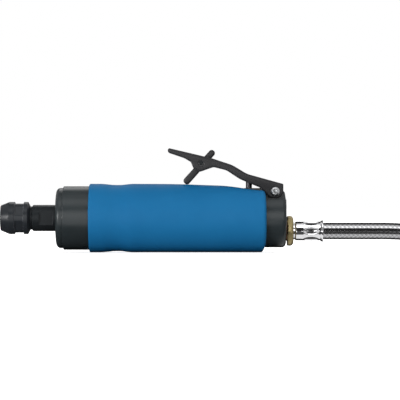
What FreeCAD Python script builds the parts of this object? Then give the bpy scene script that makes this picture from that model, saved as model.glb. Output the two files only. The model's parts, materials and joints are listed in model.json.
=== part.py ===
import FreeCAD, Part
import math
import os
from types import SimpleNamespace
import Sketcher

# A straight pneumatic die grinder. X runs along the tool from its nose to its hose, Z is up and the throttle
# lever is on top. The origin is on the surface that the tool rests on, below the middle of its length.
# Lengths are in millimetres.

DIMENSIONS = {
    # the tool's axis and the clamping nut
    "axis_height": 20.1, "nut_face": -85.76, "nut_nose_radius": 7.35, "nut_radius": 9.45, "nut_taper_end": -80.6,
    "nut_band_end": -77.4, "nut_waist_radius": 8.9, "nut_flats": 17.0, "nut_waist_end": -72.1, "nut_rim_end": -69.65,
    "nut_rear": -68.3, "nut_rear_radius": 6.85, "nut_mouth_radius": 4.75, "nut_thread_radius": 6.55, "nut_lip": 0.5,
    "nut_cone_start": -85.3, "nut_cone_end": -83.3, "nut_cone_radius": 5.9, "nut_step": -82.4,
    # the collet
    "shank_radius": 3.0, "collet_face": -85.2, "collet_nose_radius": 4.6, "collet_radius": 5.73,
    "collet_cone_end": -83.25, "collet_groove": -82.6, "collet_groove_end": -81.9, "collet_groove_radius": 5.0,
    "collet_taper_start": -81.2, "collet_rear": -68.5, "collet_rear_radius": 3.945, "slit_width": 0.6,
    "slit_count": 3, "front_slit_end": -71.5, "rear_slit_start": -81.5,
    # the spindle
    "spindle_mouth_radius": 5.76, "spindle_thread_radius": 6.5, "spindle_neck": -68.2, "spindle_neck_radius": 6.82,
    "spindle_shoulder": -67.3, "spindle_full": -66.7, "spindle_radius": 7.7, "spindle_step": -43.5,
    "bearing_shoulder_radius": 6.3, "shaft_radius": 5.0, "shaft_end_radius": 4.0, "shaft_step": 12.35,
    "shaft_end": 21.0, "seat_rear_radius": 3.975, "shank_bore_radius": 3.2, "shank_bore_end": -58.3,
    "drill_point": -56.5, "flats_start": -63.0, "flats_end": -54.8, "flats_across": 13.0,
    # the front cap
    "cap_face": -53.0, "cap_radius": 17.64, "cap_round": 2.5, "cap_rear": -48.9, "cap_thread_radius": 16.0,
    "cap_bore_radius": 7.8, "cap_recess": -44.8, "cap_recess_radius": 12.0, "cap_inner": -42.0,
    "pin_hole_radius": 1.25, "pin_hole_circle": 13.2, "pin_hole_depth": 3.0, "pin_hole_count": 4,
    # the motor housing
    "collar_radius": 18.64, "collar_end": -33.7, "collar_chamfer": 0.4, "barrel_radius": 17.0, "barrel_end": 40.0,
    "stack_radius": 15.5,
    # the front bearing (26 x 10 x 8) and the rear bearing (22 x 8 x 7)
    "front_bearing_x": -42.0, "front_bearing_width": 8.0, "front_bearing_radius": 13.0, "front_ball_radius": 2.3,
    "front_ball_circle": 9.0, "front_ball_count": 8, "front_inner_land": 7.4, "front_outer_land": 10.6,
    "rear_bearing_x": 14.2, "rear_bearing_width": 7.0, "rear_bearing_radius": 11.0, "rear_ball_radius": 1.9,
    "rear_ball_circle": 7.6, "rear_ball_count": 7, "rear_inner_land": 6.3, "rear_outer_land": 8.9,
    "ball_clearance": 0.03, "cage_half_width": 1.6, "cage_half_thickness": 0.7, "cage_clearance": 0.05,
    # the motor
    "plate_relief": 0.4, "plate_relief_radius": 9.6, "plate_bore_radius": 5.6, "liner_start": -29.0,
    "liner_end": 12.4, "liner_bore_radius": 13.2, "liner_offset": 1.15, "rotor_radius": 12.0,
    "rotor_gap": 0.08, "vane_count": 4, "slot_width": 1.8, "slot_floor": 5.9, "vane_thickness": 1.7,
    "vane_root": 6.0, "vane_tip": 11.9, "exhaust_slot_width": 3.0, "exhaust_slot_length": 8.0,
    "exhaust_slot_pitch": 12.0, "exhaust_slot_count": 3, "washer_inner_radius": 8.8, "stack_end": 22.0,
    # the throttle housing
    "gasket_thickness": 0.8, "spigot_bore_radius": 13.0, "spigot_floor": 38.0, "lip_radius": 17.23,
    "sleeve_end": 69.3, "housing_end": 81.35, "housing_round": 2.5, "flat_start": 44.0, "flat_height": 14.3,
    "ledge_start": 67.6, "ledge_height": 10.9, "boss_start": 56.4, "boss_height": 17.6, "boss_half_width": 4.1,
    "ear_foot": 69.0, "ear_top_front": 72.2, "ear_top": 19.1, "ear_top_rear": 77.0, "ear_rear": 80.7,
    "ear_shoulder": 15.0, "air_bore_radius": 3.0, "air_bore_height": 0.5, "exhaust_side": 8.6,
    "exhaust_height": 4.5, "exhaust_radius": 3.5, "muffler_depth": 5.0,
    # the lever
    "pivot_x": 75.1, "pivot_z": 35.68, "pivot_pin_radius": 2.0, "pivot_clearance": 0.05, "lever_half_width": 6.0,
    "channel_half_width": 4.2, "lever_wall": 1.7, "tip_x": -62.8, "tip_top": 25.5, "tip_bottom": 22.9,
    "knee_x": -37.0, "knee_top": 19.4, "bend_x": -25.0, "bend_top": 15.4, "heel_x": -16.6, "heel_top": 10.3,
    "tail_x": 4.7, "tail_top": 4.4, "tail_bottom": -3.9, "cheek_front_x": -3.6, "cheek_foot_x": -8.9,
    "cheek_foot_z": 2.4, "under_heel_x": -20.5, "under_heel_z": 7.3, "under_bend_x": -28.4, "under_bend_z": 12.5,
    "lug_rear_x": -36.0, "lug_rear_z": 14.4, "lug_low_x": -44.0, "lug_low_z": 11.6, "lug_front_x": -49.2,
    "lug_front_z": 17.6, "under_tip_x": -53.4, "under_tip_z": 19.7, "channel_front": -56.5, "slot_front": -47.9,
    "slot_rear": -31.6, "slot_half_width": 3.1,
    # the pivot screw and its nut
    "screw_head_radius": 2.7, "screw_head_height": 1.5, "pivot_nut_flats": 6.6, "pivot_nut_height": 2.2,
    "socket_flats": 2.5, "socket_depth": 0.9,
    # the safety catch
    "catch_x": 31.8, "catch_z": 52.2, "catch_angle": 48.5, "catch_pin_radius": 1.25, "catch_half_width": 2.7,
    "catch_offset": -0.68, "foot_reach": 15.0, "tab_reach": 10.4, "leg_half": 2.05, "tab_half": 1.85,
    "hub_radius": 2.5, "catch_spring_radius": 1.9, "catch_spring_wire": 0.3, "catch_spring_pitch": 0.63,
    "catch_spring_start": 3.03, "catch_spring_turns": 1.25,
    # the valve
    "valve_x": 59.8, "plunger_radius": 1.8, "plunger_top": 43.42, "plunger_dome": 0.7, "bush_radius": 3.0,
    "bush_floor": 31.7, "plunger_bore_radius": 1.85, "chamber_radius": 4.0, "chamber_top": 24.1,
    "seat_top": 17.1, "seat_bottom": 15.6, "seat_bore_radius": 2.8, "valve_bore_radius": 5.5,
    "seal_top": 15.55, "poppet_top": 14.9, "poppet_bottom": 12.2, "poppet_radius": 4.4, "spring_seat": 6.3,
    "plug_bottom": 4.1, "spring_radius": 3.2, "spring_wire": 0.3, "spring_turns": 3.75, "plug_slot": 1.2,
    # the air inlet
    "inlet_height": 12.6, "inlet_thread_radius": 4.9, "inlet_bore_radius": 3.9, "inlet_floor": 70.0,
    "seal_ring_radius": 5.75, "hex_start": 82.1, "hex_end": 85.76, "inlet_hex": 17.0, "hex_chamfer": 1.3,
    "bush_bore_radius": 3.0, "neck_radius": 5.0, "insert_start": 80.0, "insert_radius": 3.6,
    "insert_bore_radius": 2.4, "strainer_start": 66.2, "strainer_radius": 3.7, "strainer_wall": 0.35,
    # the hose
    "ferrule_start": 86.6, "ferrule_radius": 5.55, "ferrule_round": 1.4, "ferrule_lip": 102.2, "lip_flare": 6.35,
    "ferrule_end": 103.1, "dimple_start": 92.3, "dimple_end": 100.9, "dimple_half_width": 1.35,
    "dimple_depth": 0.45, "dimple_count": 8, "hose_radius": 4.85, "coil_x": 217.0, "coil_radius": 53.5,
    "coil_low_height": 19.45, "coil_end_height": 26.75, "coil_gap_angle": 90.0,
    "end_ferrule_length": 14.0, "end_hex_length": 6.0, "end_thread_length": 11.0, "end_hex": 14.0,
    "end_thread_radius": 6.58, "end_bore_radius": 2.6, "end_neck_radius": 5.4,
    # the grip sleeve
    "sleeve_radius": 20.1, "sleeve_edge_round": 0.9, "flare_end": -26.5, "waist_start": -18.6,
    "waist_end": -15.6, "waist_radius": 19.4, "sleeve_bulge_start": -8.7, "sleeve_rear_radius": 20.05,
    "crown_start": 6.0, "crown_start_height": 20.2, "crown_bend": 44.0,
    "crown_bend_height": 19.2, "crown_low": 61.0, "crown_low_height": 16.46, "notch_start": 56.2,
    "notch_half_width": 7.2, "notch_round": 3.0, "above_all": 30.0,
}


class Size:
    """A number together with the sheet expression that gives it."""

    def __init__(self, value, text):
        self.value = float(value)
        self.text = text

    def joined(self, sign, other, value):
        return Size(value, f"({self.text} {sign} {sized(other).text})")

    def __add__(self, other):
        return self.joined("+", other, self.value + sized(other).value)

    def __sub__(self, other):
        return self.joined("-", other, self.value - sized(other).value)

    def __mul__(self, other):
        return self.joined("*", other, self.value * sized(other).value)

    def __truediv__(self, other):
        return self.joined("/", other, self.value / sized(other).value)

    def __neg__(self):
        return self * -1


def sized(thing):
    return thing if isinstance(thing, Size) else Size(thing, repr(float(thing)))


doc = FreeCAD.newDocument("DieGrinder")
sheet = doc.addObject("Spreadsheet::Sheet", "Dims")
for row, (alias, number) in enumerate(DIMENSIONS.items(), start=1):
    sheet.set(f"A{row}", alias.replace("_", " "))
    sheet.set(f"B{row}", repr(number))
    sheet.setAlias(f"B{row}", alias)
doc.recompute()
d = SimpleNamespace(**{alias: Size(sheet.get(alias), f"Dims.{alias}") for alias in DIMENSIONS})
ZERO = Size(0.0, "0.0")
nodes = []


# ---- helpers: objects bound to the sheet ----

def bind(thing, path, size):
    """Give a property its value, and tie it to the sheet."""
    thing.setExpression(path, sized(size).text)


def place(thing, x=ZERO, y=ZERO, z=ZERO, about=(0, 0, 1), angle=0.0):
    """Put a sub-part in the tool's frame, with its position tied to the sheet."""
    turn = FreeCAD.Rotation(FreeCAD.Vector(*about), angle)
    thing.Placement = FreeCAD.Placement(FreeCAD.Vector(sized(x).value, sized(y).value, sized(z).value), turn)
    for name, size in (("x", x), ("y", y), ("z", z)):
        bind(thing, f"Placement.Base.{name}", size)


def node(thing, label):
    """Name a sub-part, which gives its file its name."""
    thing.Label = label
    nodes.append(thing)
    return thing


def new_body(label, **where):
    body = doc.addObject("PartDesign::Body", label)
    place(body, **where)
    return node(body, label)


def origin_part(body, role):
    return next(feature for feature in body.Origin.OriginFeatures if feature.Role == role)


def new_sketch(body, plane, offset):
    sketch = body.newObject("Sketcher::SketchObject", "Sketch")
    sketch.AttachmentSupport = [(origin_part(body, plane), "")]
    sketch.MapMode = "FlatFace"
    sketch.AttachmentOffset = FreeCAD.Placement(FreeCAD.Vector(0, 0, sized(offset).value), FreeCAD.Rotation())
    bind(sketch, "AttachmentOffset.Base.z", offset)
    return sketch


def pin_point(sketch, geometry, end, x, y):
    """Tie one point of a sketch to the sheet."""
    for kind, size in (("DistanceX", sized(x)), ("DistanceY", sized(y))):
        index = sketch.addConstraint(Sketcher.Constraint(kind, -1, 1, geometry, end, size.value))
        sketch.setExpression(f"Constraints[{index}]", size.text)


def draw_circle(sketch, x, y, radius):
    centre = FreeCAD.Vector(sized(x).value, sized(y).value, 0)
    circle = sketch.addGeometry(Part.Circle(centre, FreeCAD.Vector(0, 0, 1), sized(radius).value), False)
    pin_point(sketch, circle, 3, x, y)
    index = sketch.addConstraint(Sketcher.Constraint("Radius", circle, sized(radius).value))
    bind(sketch, f"Constraints[{index}]", radius)


def draw_outline(sketch, points):
    """A closed outline of straight lines through its corners, every corner tied to the sheet."""
    count = len(points)
    corners = [FreeCAD.Vector(sized(point[0]).value, sized(point[1]).value, 0) for point in points]
    lines = []
    for i in range(count):
        lines.append(sketch.addGeometry(Part.LineSegment(corners[i], corners[(i + 1) % count]), False))
    for i in range(count):
        sketch.addConstraint(Sketcher.Constraint("Coincident", lines[i - 1], 2, lines[i], 1))
        pin_point(sketch, lines[i], 1, points[i][0], points[i][1])


FLATTENED = {
    "XY_Plane": lambda point: (point.x, point.y),
    "XZ_Plane": lambda point: (point.x, point.z),
    "YZ_Plane": lambda point: (point.y, point.z),
    "X_Axis": lambda point: (point.x, math.hypot(point.y, point.z)),
    "Y_Axis": lambda point: (point.y, math.hypot(point.x, point.z)),
    "Z_Axis": lambda point: (point.z, math.hypot(point.x, point.y)),
}


def round_corners(body, points, flattened):
    """Fillet the edges that an outline's corners made, for every corner that has a radius as its third number."""
    by_radius = {}
    for point in points:
        if len(point) > 2:
            by_radius.setdefault(sized(point[2]).text, []).append(point)
    for corners in by_radius.values():
        doc.recompute()
        base = body.Tip
        names = []
        for i, edge in enumerate(base.Shape.Edges, start=1):
            first, last = edge.ParameterRange
            samples = [flattened(edge.valueAt(first + (last - first) * part)) for part in (0.0, 0.4, 1.0)]
            for corner in corners:
                x, y = sized(corner[0]).value, sized(corner[1]).value
                if all(math.hypot(sample[0] - x, sample[1] - y) < 1e-4 for sample in samples):
                    names.append(f"Edge{i}")
        if not names:
            raise RuntimeError(f"{body.Label} has no edge to round at {sized(corners[0][2]).text}")
        fillet = body.newObject("PartDesign::Fillet", "Fillet")
        fillet.Base = (base, names)
        bind(fillet, "Radius", corners[0][2])
    doc.recompute()


def draw(sketch, loops):
    for loop in loops:
        if isinstance(loop, tuple):
            draw_circle(sketch, *loop)
        else:
            draw_outline(sketch, loop)


def turn(body, points, axis="X_Axis", plane="XZ_Plane"):
    """Turn an outline of (position along the axis, radius) corners about one of the body's axes."""
    sketch = new_sketch(body, plane, 0)
    draw_outline(sketch, [(radius, along) for along, radius, *_ in points] if axis == "Z_Axis" else points)
    feature = body.newObject("PartDesign::Revolution", "Turn")
    feature.Profile = sketch
    feature.ReferenceAxis = (origin_part(body, axis), [""])
    feature.Angle = 360
    round_corners(body, points, FLATTENED[axis])
    return feature


def turned(label, points, axis="X_Axis", **where):
    body = new_body(label, **where)
    turn(body, points, axis=axis)
    return body


def extrude(body, kind, plane, loops, start, length):
    """A pad or pocket from start to start + length along the plane's normal."""
    sketch = new_sketch(body, plane, start)
    draw(sketch, loops)
    feature = body.newObject(kind, "Extrusion")
    feature.Profile = sketch
    feature.Type = "Length"
    feature.Reversed = kind == "PartDesign::Pocket"
    bind(feature, "Length", length)
    for loop in loops:
        if not isinstance(loop, tuple):
            round_corners(body, loop, FLATTENED[plane])
    return feature


def pad(body, plane, loops, start, length):
    return extrude(body, "PartDesign::Pad", plane, loops, start, length)


def cut(body, plane, loops, start, length):
    """A pocket that must take material away."""
    doc.recompute()
    before = body.Shape.Volume
    feature = extrude(body, "PartDesign::Pocket", plane, loops, start, length)
    doc.recompute()
    if not body.Shape.Volume < before - 1e-6:
        raise RuntimeError(f"a cut in {body.Label} takes nothing away")
    return feature


def repeat_round(body, features, count, axis="X_Axis"):
    pattern = body.newObject("PartDesign::PolarPattern", "Pattern")
    pattern.Originals = features
    pattern.Axis = (origin_part(body, axis), [""])
    pattern.Angle = 360
    bind(pattern, "Occurrences", count)
    body.Tip = pattern
    return pattern


def box_loop(left, right, low, high):
    return [(left, low), (right, low), (right, high), (left, high)]


def hexagon(across, x=ZERO, y=ZERO):
    """The corners of a hexagon with its first flat facing +y."""
    corners = []
    for i in range(6):
        angle = math.radians(60 * i)
        size = across / math.sqrt(3)
        corners.append((sized(x) + size * math.cos(angle), sized(y) + size * math.sin(angle)))
    return corners


def keep_hexagon(body, plane, across, start, length, y=ZERO):
    """Cut away what stands outside a hexagon."""
    return cut(body, plane, [(ZERO, y, across), hexagon(across, ZERO, y)], start, length)


def primitive(kind, x=ZERO, y=ZERO, z=ZERO, about=(0, 0, 1), angle=0.0, **sizes):
    thing = doc.addObject(f"Part::{kind}", kind)
    for name, size in sizes.items():
        bind(thing, name, size)
    place(thing, x, y, z, about, angle)
    return thing


def boolean(kind, base, tool, label=None):
    thing = doc.addObject(f"Part::{kind}", kind)
    thing.Base, thing.Tool = base, tool
    return node(thing, label) if label else thing


def compound(things, label):
    thing = doc.addObject("Part::Compound", label)
    thing.Links = things
    return node(thing, label)


def along_x(kind, x, **sizes):
    """A primitive whose own axis lies on the tool's axis."""
    return primitive(kind, x=x, z=d.axis_height, about=(0, 1, 0), angle=90, **sizes)


def helix_wire(label, radius, wire, pitch, turns, x, y, z, rotation):
    """A round wire wound into a spring. Its helix starts at its placement's origin and climbs along its Z."""
    height = pitch.value * turns
    helix = Part.makeHelix(pitch.value, height, radius.value)
    profile = Part.Circle(FreeCAD.Vector(radius.value, 0, 0), FreeCAD.Vector(0, 1, 0), wire.value)
    sweep = Part.Wire([helix] if isinstance(helix, Part.Edge) else helix.Edges)
    solid = sweep.makePipeShell([Part.Wire([profile.toShape()])], True, True)
    thing = doc.addObject("Part::Feature", label)
    thing.Shape = solid
    thing.Placement = FreeCAD.Placement(FreeCAD.Vector(x, y, z), rotation)
    return node(thing, label)


# ---- the chuck ----

def make_collet_nut():
    body = turned("collet_nut", [
        (d.nut_face, d.nut_mouth_radius), (d.nut_face, d.nut_nose_radius, d.nut_lip),
        (d.nut_taper_end, d.nut_radius, 1.0), (d.nut_band_end, d.nut_radius),
        (d.nut_band_end + d.nut_lip, d.nut_waist_radius), (d.nut_waist_end - d.nut_lip, d.nut_waist_radius),
        (d.nut_waist_end, d.nut_radius), (d.nut_rim_end, d.nut_radius, 0.4), (d.nut_rear, d.nut_rear_radius),
        (d.nut_rear, d.nut_thread_radius), (d.nut_step, d.nut_thread_radius), (d.nut_step, d.nut_cone_radius),
        (d.nut_cone_end, d.nut_cone_radius), (d.nut_cone_start, d.nut_mouth_radius),
    ], z=d.axis_height)
    length = d.nut_waist_end - d.nut_band_end - d.nut_lip * 2
    keep_hexagon(body, "YZ_Plane", d.nut_flats, d.nut_band_end + d.nut_lip, length)


def make_collet():
    body = turned("collet", [
        (d.collet_face, d.shank_radius), (d.collet_face, d.collet_nose_radius), (d.collet_cone_end, d.collet_radius),
        (d.collet_groove, d.collet_radius), (d.collet_groove, d.collet_groove_radius),
        (d.collet_groove_end, d.collet_groove_radius), (d.collet_groove_end, d.collet_radius),
        (d.collet_taper_start, d.collet_radius), (d.collet_rear, d.collet_rear_radius),
        (d.collet_rear, d.shank_radius),
    ], z=d.axis_height)
    half = d.slit_width / 2
    front = cut(body, "YZ_Plane", [box_loop(-half, half, d.shank_radius / 2, d.nut_radius)],
                d.collet_face - 1, d.front_slit_end - d.collet_face + 1)
    repeat_round(body, [front], d.slit_count)
    rear = cut(body, "YZ_Plane", [box_loop(-half, half, -d.nut_radius, -d.shank_radius / 2)],
               d.rear_slit_start, d.collet_rear - d.rear_slit_start + 1)
    repeat_round(body, [rear], d.slit_count)


def make_spindle():
    body = turned("spindle", [
        (d.collet_taper_start, d.spindle_mouth_radius), (d.collet_taper_start, d.spindle_thread_radius),
        (d.spindle_neck, d.spindle_thread_radius), (d.spindle_neck, d.spindle_neck_radius),
        (d.spindle_shoulder, d.spindle_neck_radius), (d.spindle_full, d.spindle_radius),
        (d.spindle_step, d.spindle_radius), (d.spindle_step, d.bearing_shoulder_radius),
        (d.front_bearing_x, d.bearing_shoulder_radius), (d.front_bearing_x, d.shaft_radius),
        (d.shaft_step, d.shaft_radius), (d.shaft_step, d.shaft_end_radius), (d.shaft_end, d.shaft_end_radius),
        (d.shaft_end, ZERO), (d.drill_point, ZERO), (d.shank_bore_end, d.shank_bore_radius),
        (d.collet_rear, d.shank_bore_radius), (d.collet_rear, d.seat_rear_radius),
    ], z=d.axis_height)
    half, far = d.flats_across / 2, d.spindle_radius + 1
    for low, high in ((half, far), (-far, -half)):
        cut(body, "YZ_Plane", [box_loop(low, high, -far, far)], d.flats_start, d.flats_end - d.flats_start)


# ---- bearings ----

def make_bearing(end, x, width, ball_radius, circle, count, bore, inner_land, outer_land, radius):
    """A deep-groove ball bearing: two grooved rings, their balls and a cage, each a node of its own."""
    middle = x + width / 2
    groove = ball_radius + d.ball_clearance

    def ring(inside, outside, label):
        outer = along_x("Cylinder", x, Radius=outside, Height=width)
        inner = along_x("Cylinder", x, Radius=inside, Height=width)
        track = along_x("Torus", middle, Radius1=circle, Radius2=groove)
        boolean("Cut", boolean("Cut", outer, inner), track, f"{end}_bearing_{label}")

    def balls(size):
        spheres = []
        for i in range(int(count.value)):
            angle = 2 * math.pi * i / count.value
            spheres.append(primitive("Sphere", x=middle, y=circle * math.cos(angle),
                                     z=d.axis_height + circle * math.sin(angle), Radius=size))
        return spheres

    ring(bore, inner_land, "inner_ring")
    ring(outer_land, radius, "outer_ring")
    compound(balls(ball_radius), f"{end}_bearing_balls")
    start = middle - d.cage_half_width
    outer = along_x("Cylinder", start, Radius=circle + d.cage_half_thickness, Height=d.cage_half_width * 2)
    inner = along_x("Cylinder", start, Radius=circle - d.cage_half_thickness, Height=d.cage_half_width * 2)
    pockets = doc.addObject("Part::Compound", "Pockets")
    pockets.Links = balls(ball_radius + d.cage_clearance)
    boolean("Cut", boolean("Cut", outer, inner), pockets, f"{end}_bearing_cage")


# ---- the motor ----

def make_motor():
    front_plate_floor = d.front_bearing_x + d.front_bearing_width
    turned("front_end_plate", [
        (d.cap_inner, d.front_bearing_radius), (d.cap_inner, d.stack_radius), (d.liner_start, d.stack_radius),
        (d.liner_start, d.plate_bore_radius), (front_plate_floor + d.plate_relief, d.plate_bore_radius),
        (front_plate_floor + d.plate_relief, d.plate_relief_radius), (front_plate_floor, d.plate_relief_radius),
        (front_plate_floor, d.front_bearing_radius),
    ], z=d.axis_height)
    turned("rear_end_plate", [
        (d.liner_end, d.plate_bore_radius), (d.liner_end, d.stack_radius), (d.stack_end, d.stack_radius),
        (d.stack_end, d.rear_bearing_radius), (d.rear_bearing_x, d.rear_bearing_radius),
        (d.rear_bearing_x, d.rear_outer_land - 0.3), (d.rear_bearing_x - d.plate_relief, d.rear_outer_land - 0.3),
        (d.rear_bearing_x - d.plate_relief, d.plate_bore_radius),
    ], z=d.axis_height)
    turned("preload_washer", [
        (d.rear_bearing_x + d.rear_bearing_width, d.washer_inner_radius),
        (d.rear_bearing_x + d.rear_bearing_width, d.rear_bearing_radius),
        (d.stack_end, d.rear_bearing_radius), (d.stack_end, d.washer_inner_radius),
    ], z=d.axis_height)
    make_liner()
    make_rotor()


def make_liner():
    body = new_body("cylinder_liner", z=d.axis_height)
    pad(body, "YZ_Plane", [(ZERO, ZERO, d.stack_radius), (ZERO, -d.liner_offset, d.liner_bore_radius)],
        d.liner_start, d.liner_end - d.liner_start)
    half = d.exhaust_slot_length / 2
    for i in range(int(d.exhaust_slot_count.value)):
        middle = (d.liner_start + d.liner_end) / 2 + d.exhaust_slot_pitch * (i - 1)
        loop = box_loop(middle - half, middle + half, -d.exhaust_slot_width, d.exhaust_slot_width)
        cut(body, "XZ_Plane", [loop], d.rotor_radius, d.stack_radius - d.rotor_radius)


def make_rotor():
    start, length = d.liner_start + d.rotor_gap, d.liner_end - d.liner_start - d.rotor_gap * 2
    body = new_body("rotor", z=d.axis_height)
    pad(body, "YZ_Plane", [(ZERO, ZERO, d.rotor_radius), (ZERO, ZERO, d.shaft_radius)], start, length)
    half = d.slot_width / 2
    slot = cut(body, "YZ_Plane", [box_loop(-half, half, d.slot_floor, d.rotor_radius + 1)], start, length)
    repeat_round(body, [slot], d.vane_count)
    vanes = []
    for i in range(int(d.vane_count.value)):
        vane = primitive("Box", x=start, z=d.axis_height, about=(1, 0, 0), angle=360 * i / d.vane_count.value,
                         Length=length, Width=d.vane_thickness, Height=d.vane_tip - d.vane_root)
        turn_about = vane.Placement.Rotation
        corner = turn_about.multVec(FreeCAD.Vector(0, -d.vane_thickness.value / 2, d.vane_root.value))
        bind(vane, "Placement.Base.y", sized(corner.y))
        bind(vane, "Placement.Base.z", d.axis_height + corner.z)
        vanes.append(vane)
    compound(vanes, "rotor_vanes")


# ---- the housing ----

def make_front_cap():
    body = turned("front_cap", [
        (d.cap_face, d.cap_bore_radius), (d.cap_face, d.cap_radius, d.cap_round), (d.cap_rear, d.cap_radius),
        (d.cap_rear, d.cap_thread_radius), (d.cap_inner, d.cap_thread_radius), (d.cap_inner, d.cap_recess_radius),
        (d.cap_recess, d.cap_recess_radius), (d.cap_recess, d.cap_bore_radius),
    ], z=d.axis_height)
    hole = cut(body, "YZ_Plane", [(d.pin_hole_circle, ZERO, d.pin_hole_radius)], d.cap_face, d.pin_hole_depth)
    repeat_round(body, [hole], d.pin_hole_count)


def make_motor_housing():
    turned("motor_housing", [
        (d.cap_rear, d.cap_thread_radius), (d.cap_rear, d.collar_radius, d.collar_chamfer),
        (d.collar_end, d.collar_radius), (d.collar_end, d.barrel_radius), (d.barrel_end, d.barrel_radius),
        (d.barrel_end, d.stack_radius), (d.cap_inner, d.stack_radius), (d.cap_inner, d.cap_thread_radius),
    ], z=d.axis_height)
    turned("housing_gasket", [
        (d.barrel_end, d.stack_radius), (d.barrel_end, d.barrel_radius),
        (d.barrel_end + d.gasket_thickness, d.barrel_radius), (d.barrel_end + d.gasket_thickness, d.stack_radius),
    ], z=d.axis_height)


def make_grip_sleeve():
    body = turned("grip_sleeve", [
        (d.collar_end, d.barrel_radius - 3), (d.collar_end, d.sleeve_radius, d.sleeve_edge_round),
        (d.flare_end, d.sleeve_radius), (d.waist_start, d.waist_radius), (d.waist_end, d.waist_radius),
        (d.sleeve_bulge_start, d.sleeve_rear_radius),
        (d.sleeve_end, d.sleeve_rear_radius, d.sleeve_edge_round), (d.sleeve_end, d.barrel_radius - 3),
    ], z=d.axis_height)
    wide = d.sleeve_radius + 2
    crown = [(d.crown_start, d.crown_start_height), (d.crown_bend, d.crown_bend_height, 60.0),
             (d.crown_low, d.crown_low_height, 25.0), (d.housing_end, d.crown_low_height),
             (d.housing_end, d.above_all), (d.crown_start, d.above_all)]
    cut(body, "XZ_Plane", [crown], -wide, wide * 2)
    cut(body, "YZ_Plane", [(ZERO, ZERO, d.barrel_radius)], d.collar_end, d.flat_start - d.collar_end)
    corner = (d.barrel_radius * d.barrel_radius).value - (d.flat_height * d.flat_height).value
    half = math.sqrt(corner)
    sketch = new_sketch(body, "YZ_Plane", d.flat_start)
    arc = Part.Arc(FreeCAD.Vector(-half, d.flat_height.value, 0), FreeCAD.Vector(0, -d.barrel_radius.value, 0),
                   FreeCAD.Vector(half, d.flat_height.value, 0))
    bow = sketch.addGeometry(arc, False)
    chord = sketch.addGeometry(Part.LineSegment(FreeCAD.Vector(half, d.flat_height.value, 0),
                                                FreeCAD.Vector(-half, d.flat_height.value, 0)), False)
    sketch.addConstraint(Sketcher.Constraint("Coincident", bow, 2, chord, 1))
    sketch.addConstraint(Sketcher.Constraint("Coincident", bow, 1, chord, 2))
    sketch.addConstraint(Sketcher.Constraint("Coincident", bow, 3, -1, 1))
    sketch.addConstraint(Sketcher.Constraint("Horizontal", chord))
    radius = sketch.addConstraint(Sketcher.Constraint("Radius", bow, d.barrel_radius.value))
    bind(sketch, f"Constraints[{radius}]", d.barrel_radius)
    height = sketch.addConstraint(Sketcher.Constraint("DistanceY", -1, 1, chord, 1, d.flat_height.value))
    bind(sketch, f"Constraints[{height}]", d.flat_height)
    bore = body.newObject("PartDesign::Pocket", "Bore")
    bore.Profile = sketch
    bore.Type = "Length"
    bore.Reversed = True
    bind(bore, "Length", d.housing_end - d.flat_start)
    notch = [(d.notch_start, -d.notch_half_width, d.notch_round), (d.housing_end, -d.notch_half_width),
             (d.housing_end, d.notch_half_width), (d.notch_start, d.notch_half_width, d.notch_round)]
    cut(body, "XY_Plane", [notch], d.flat_height - 1, d.above_all)


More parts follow.
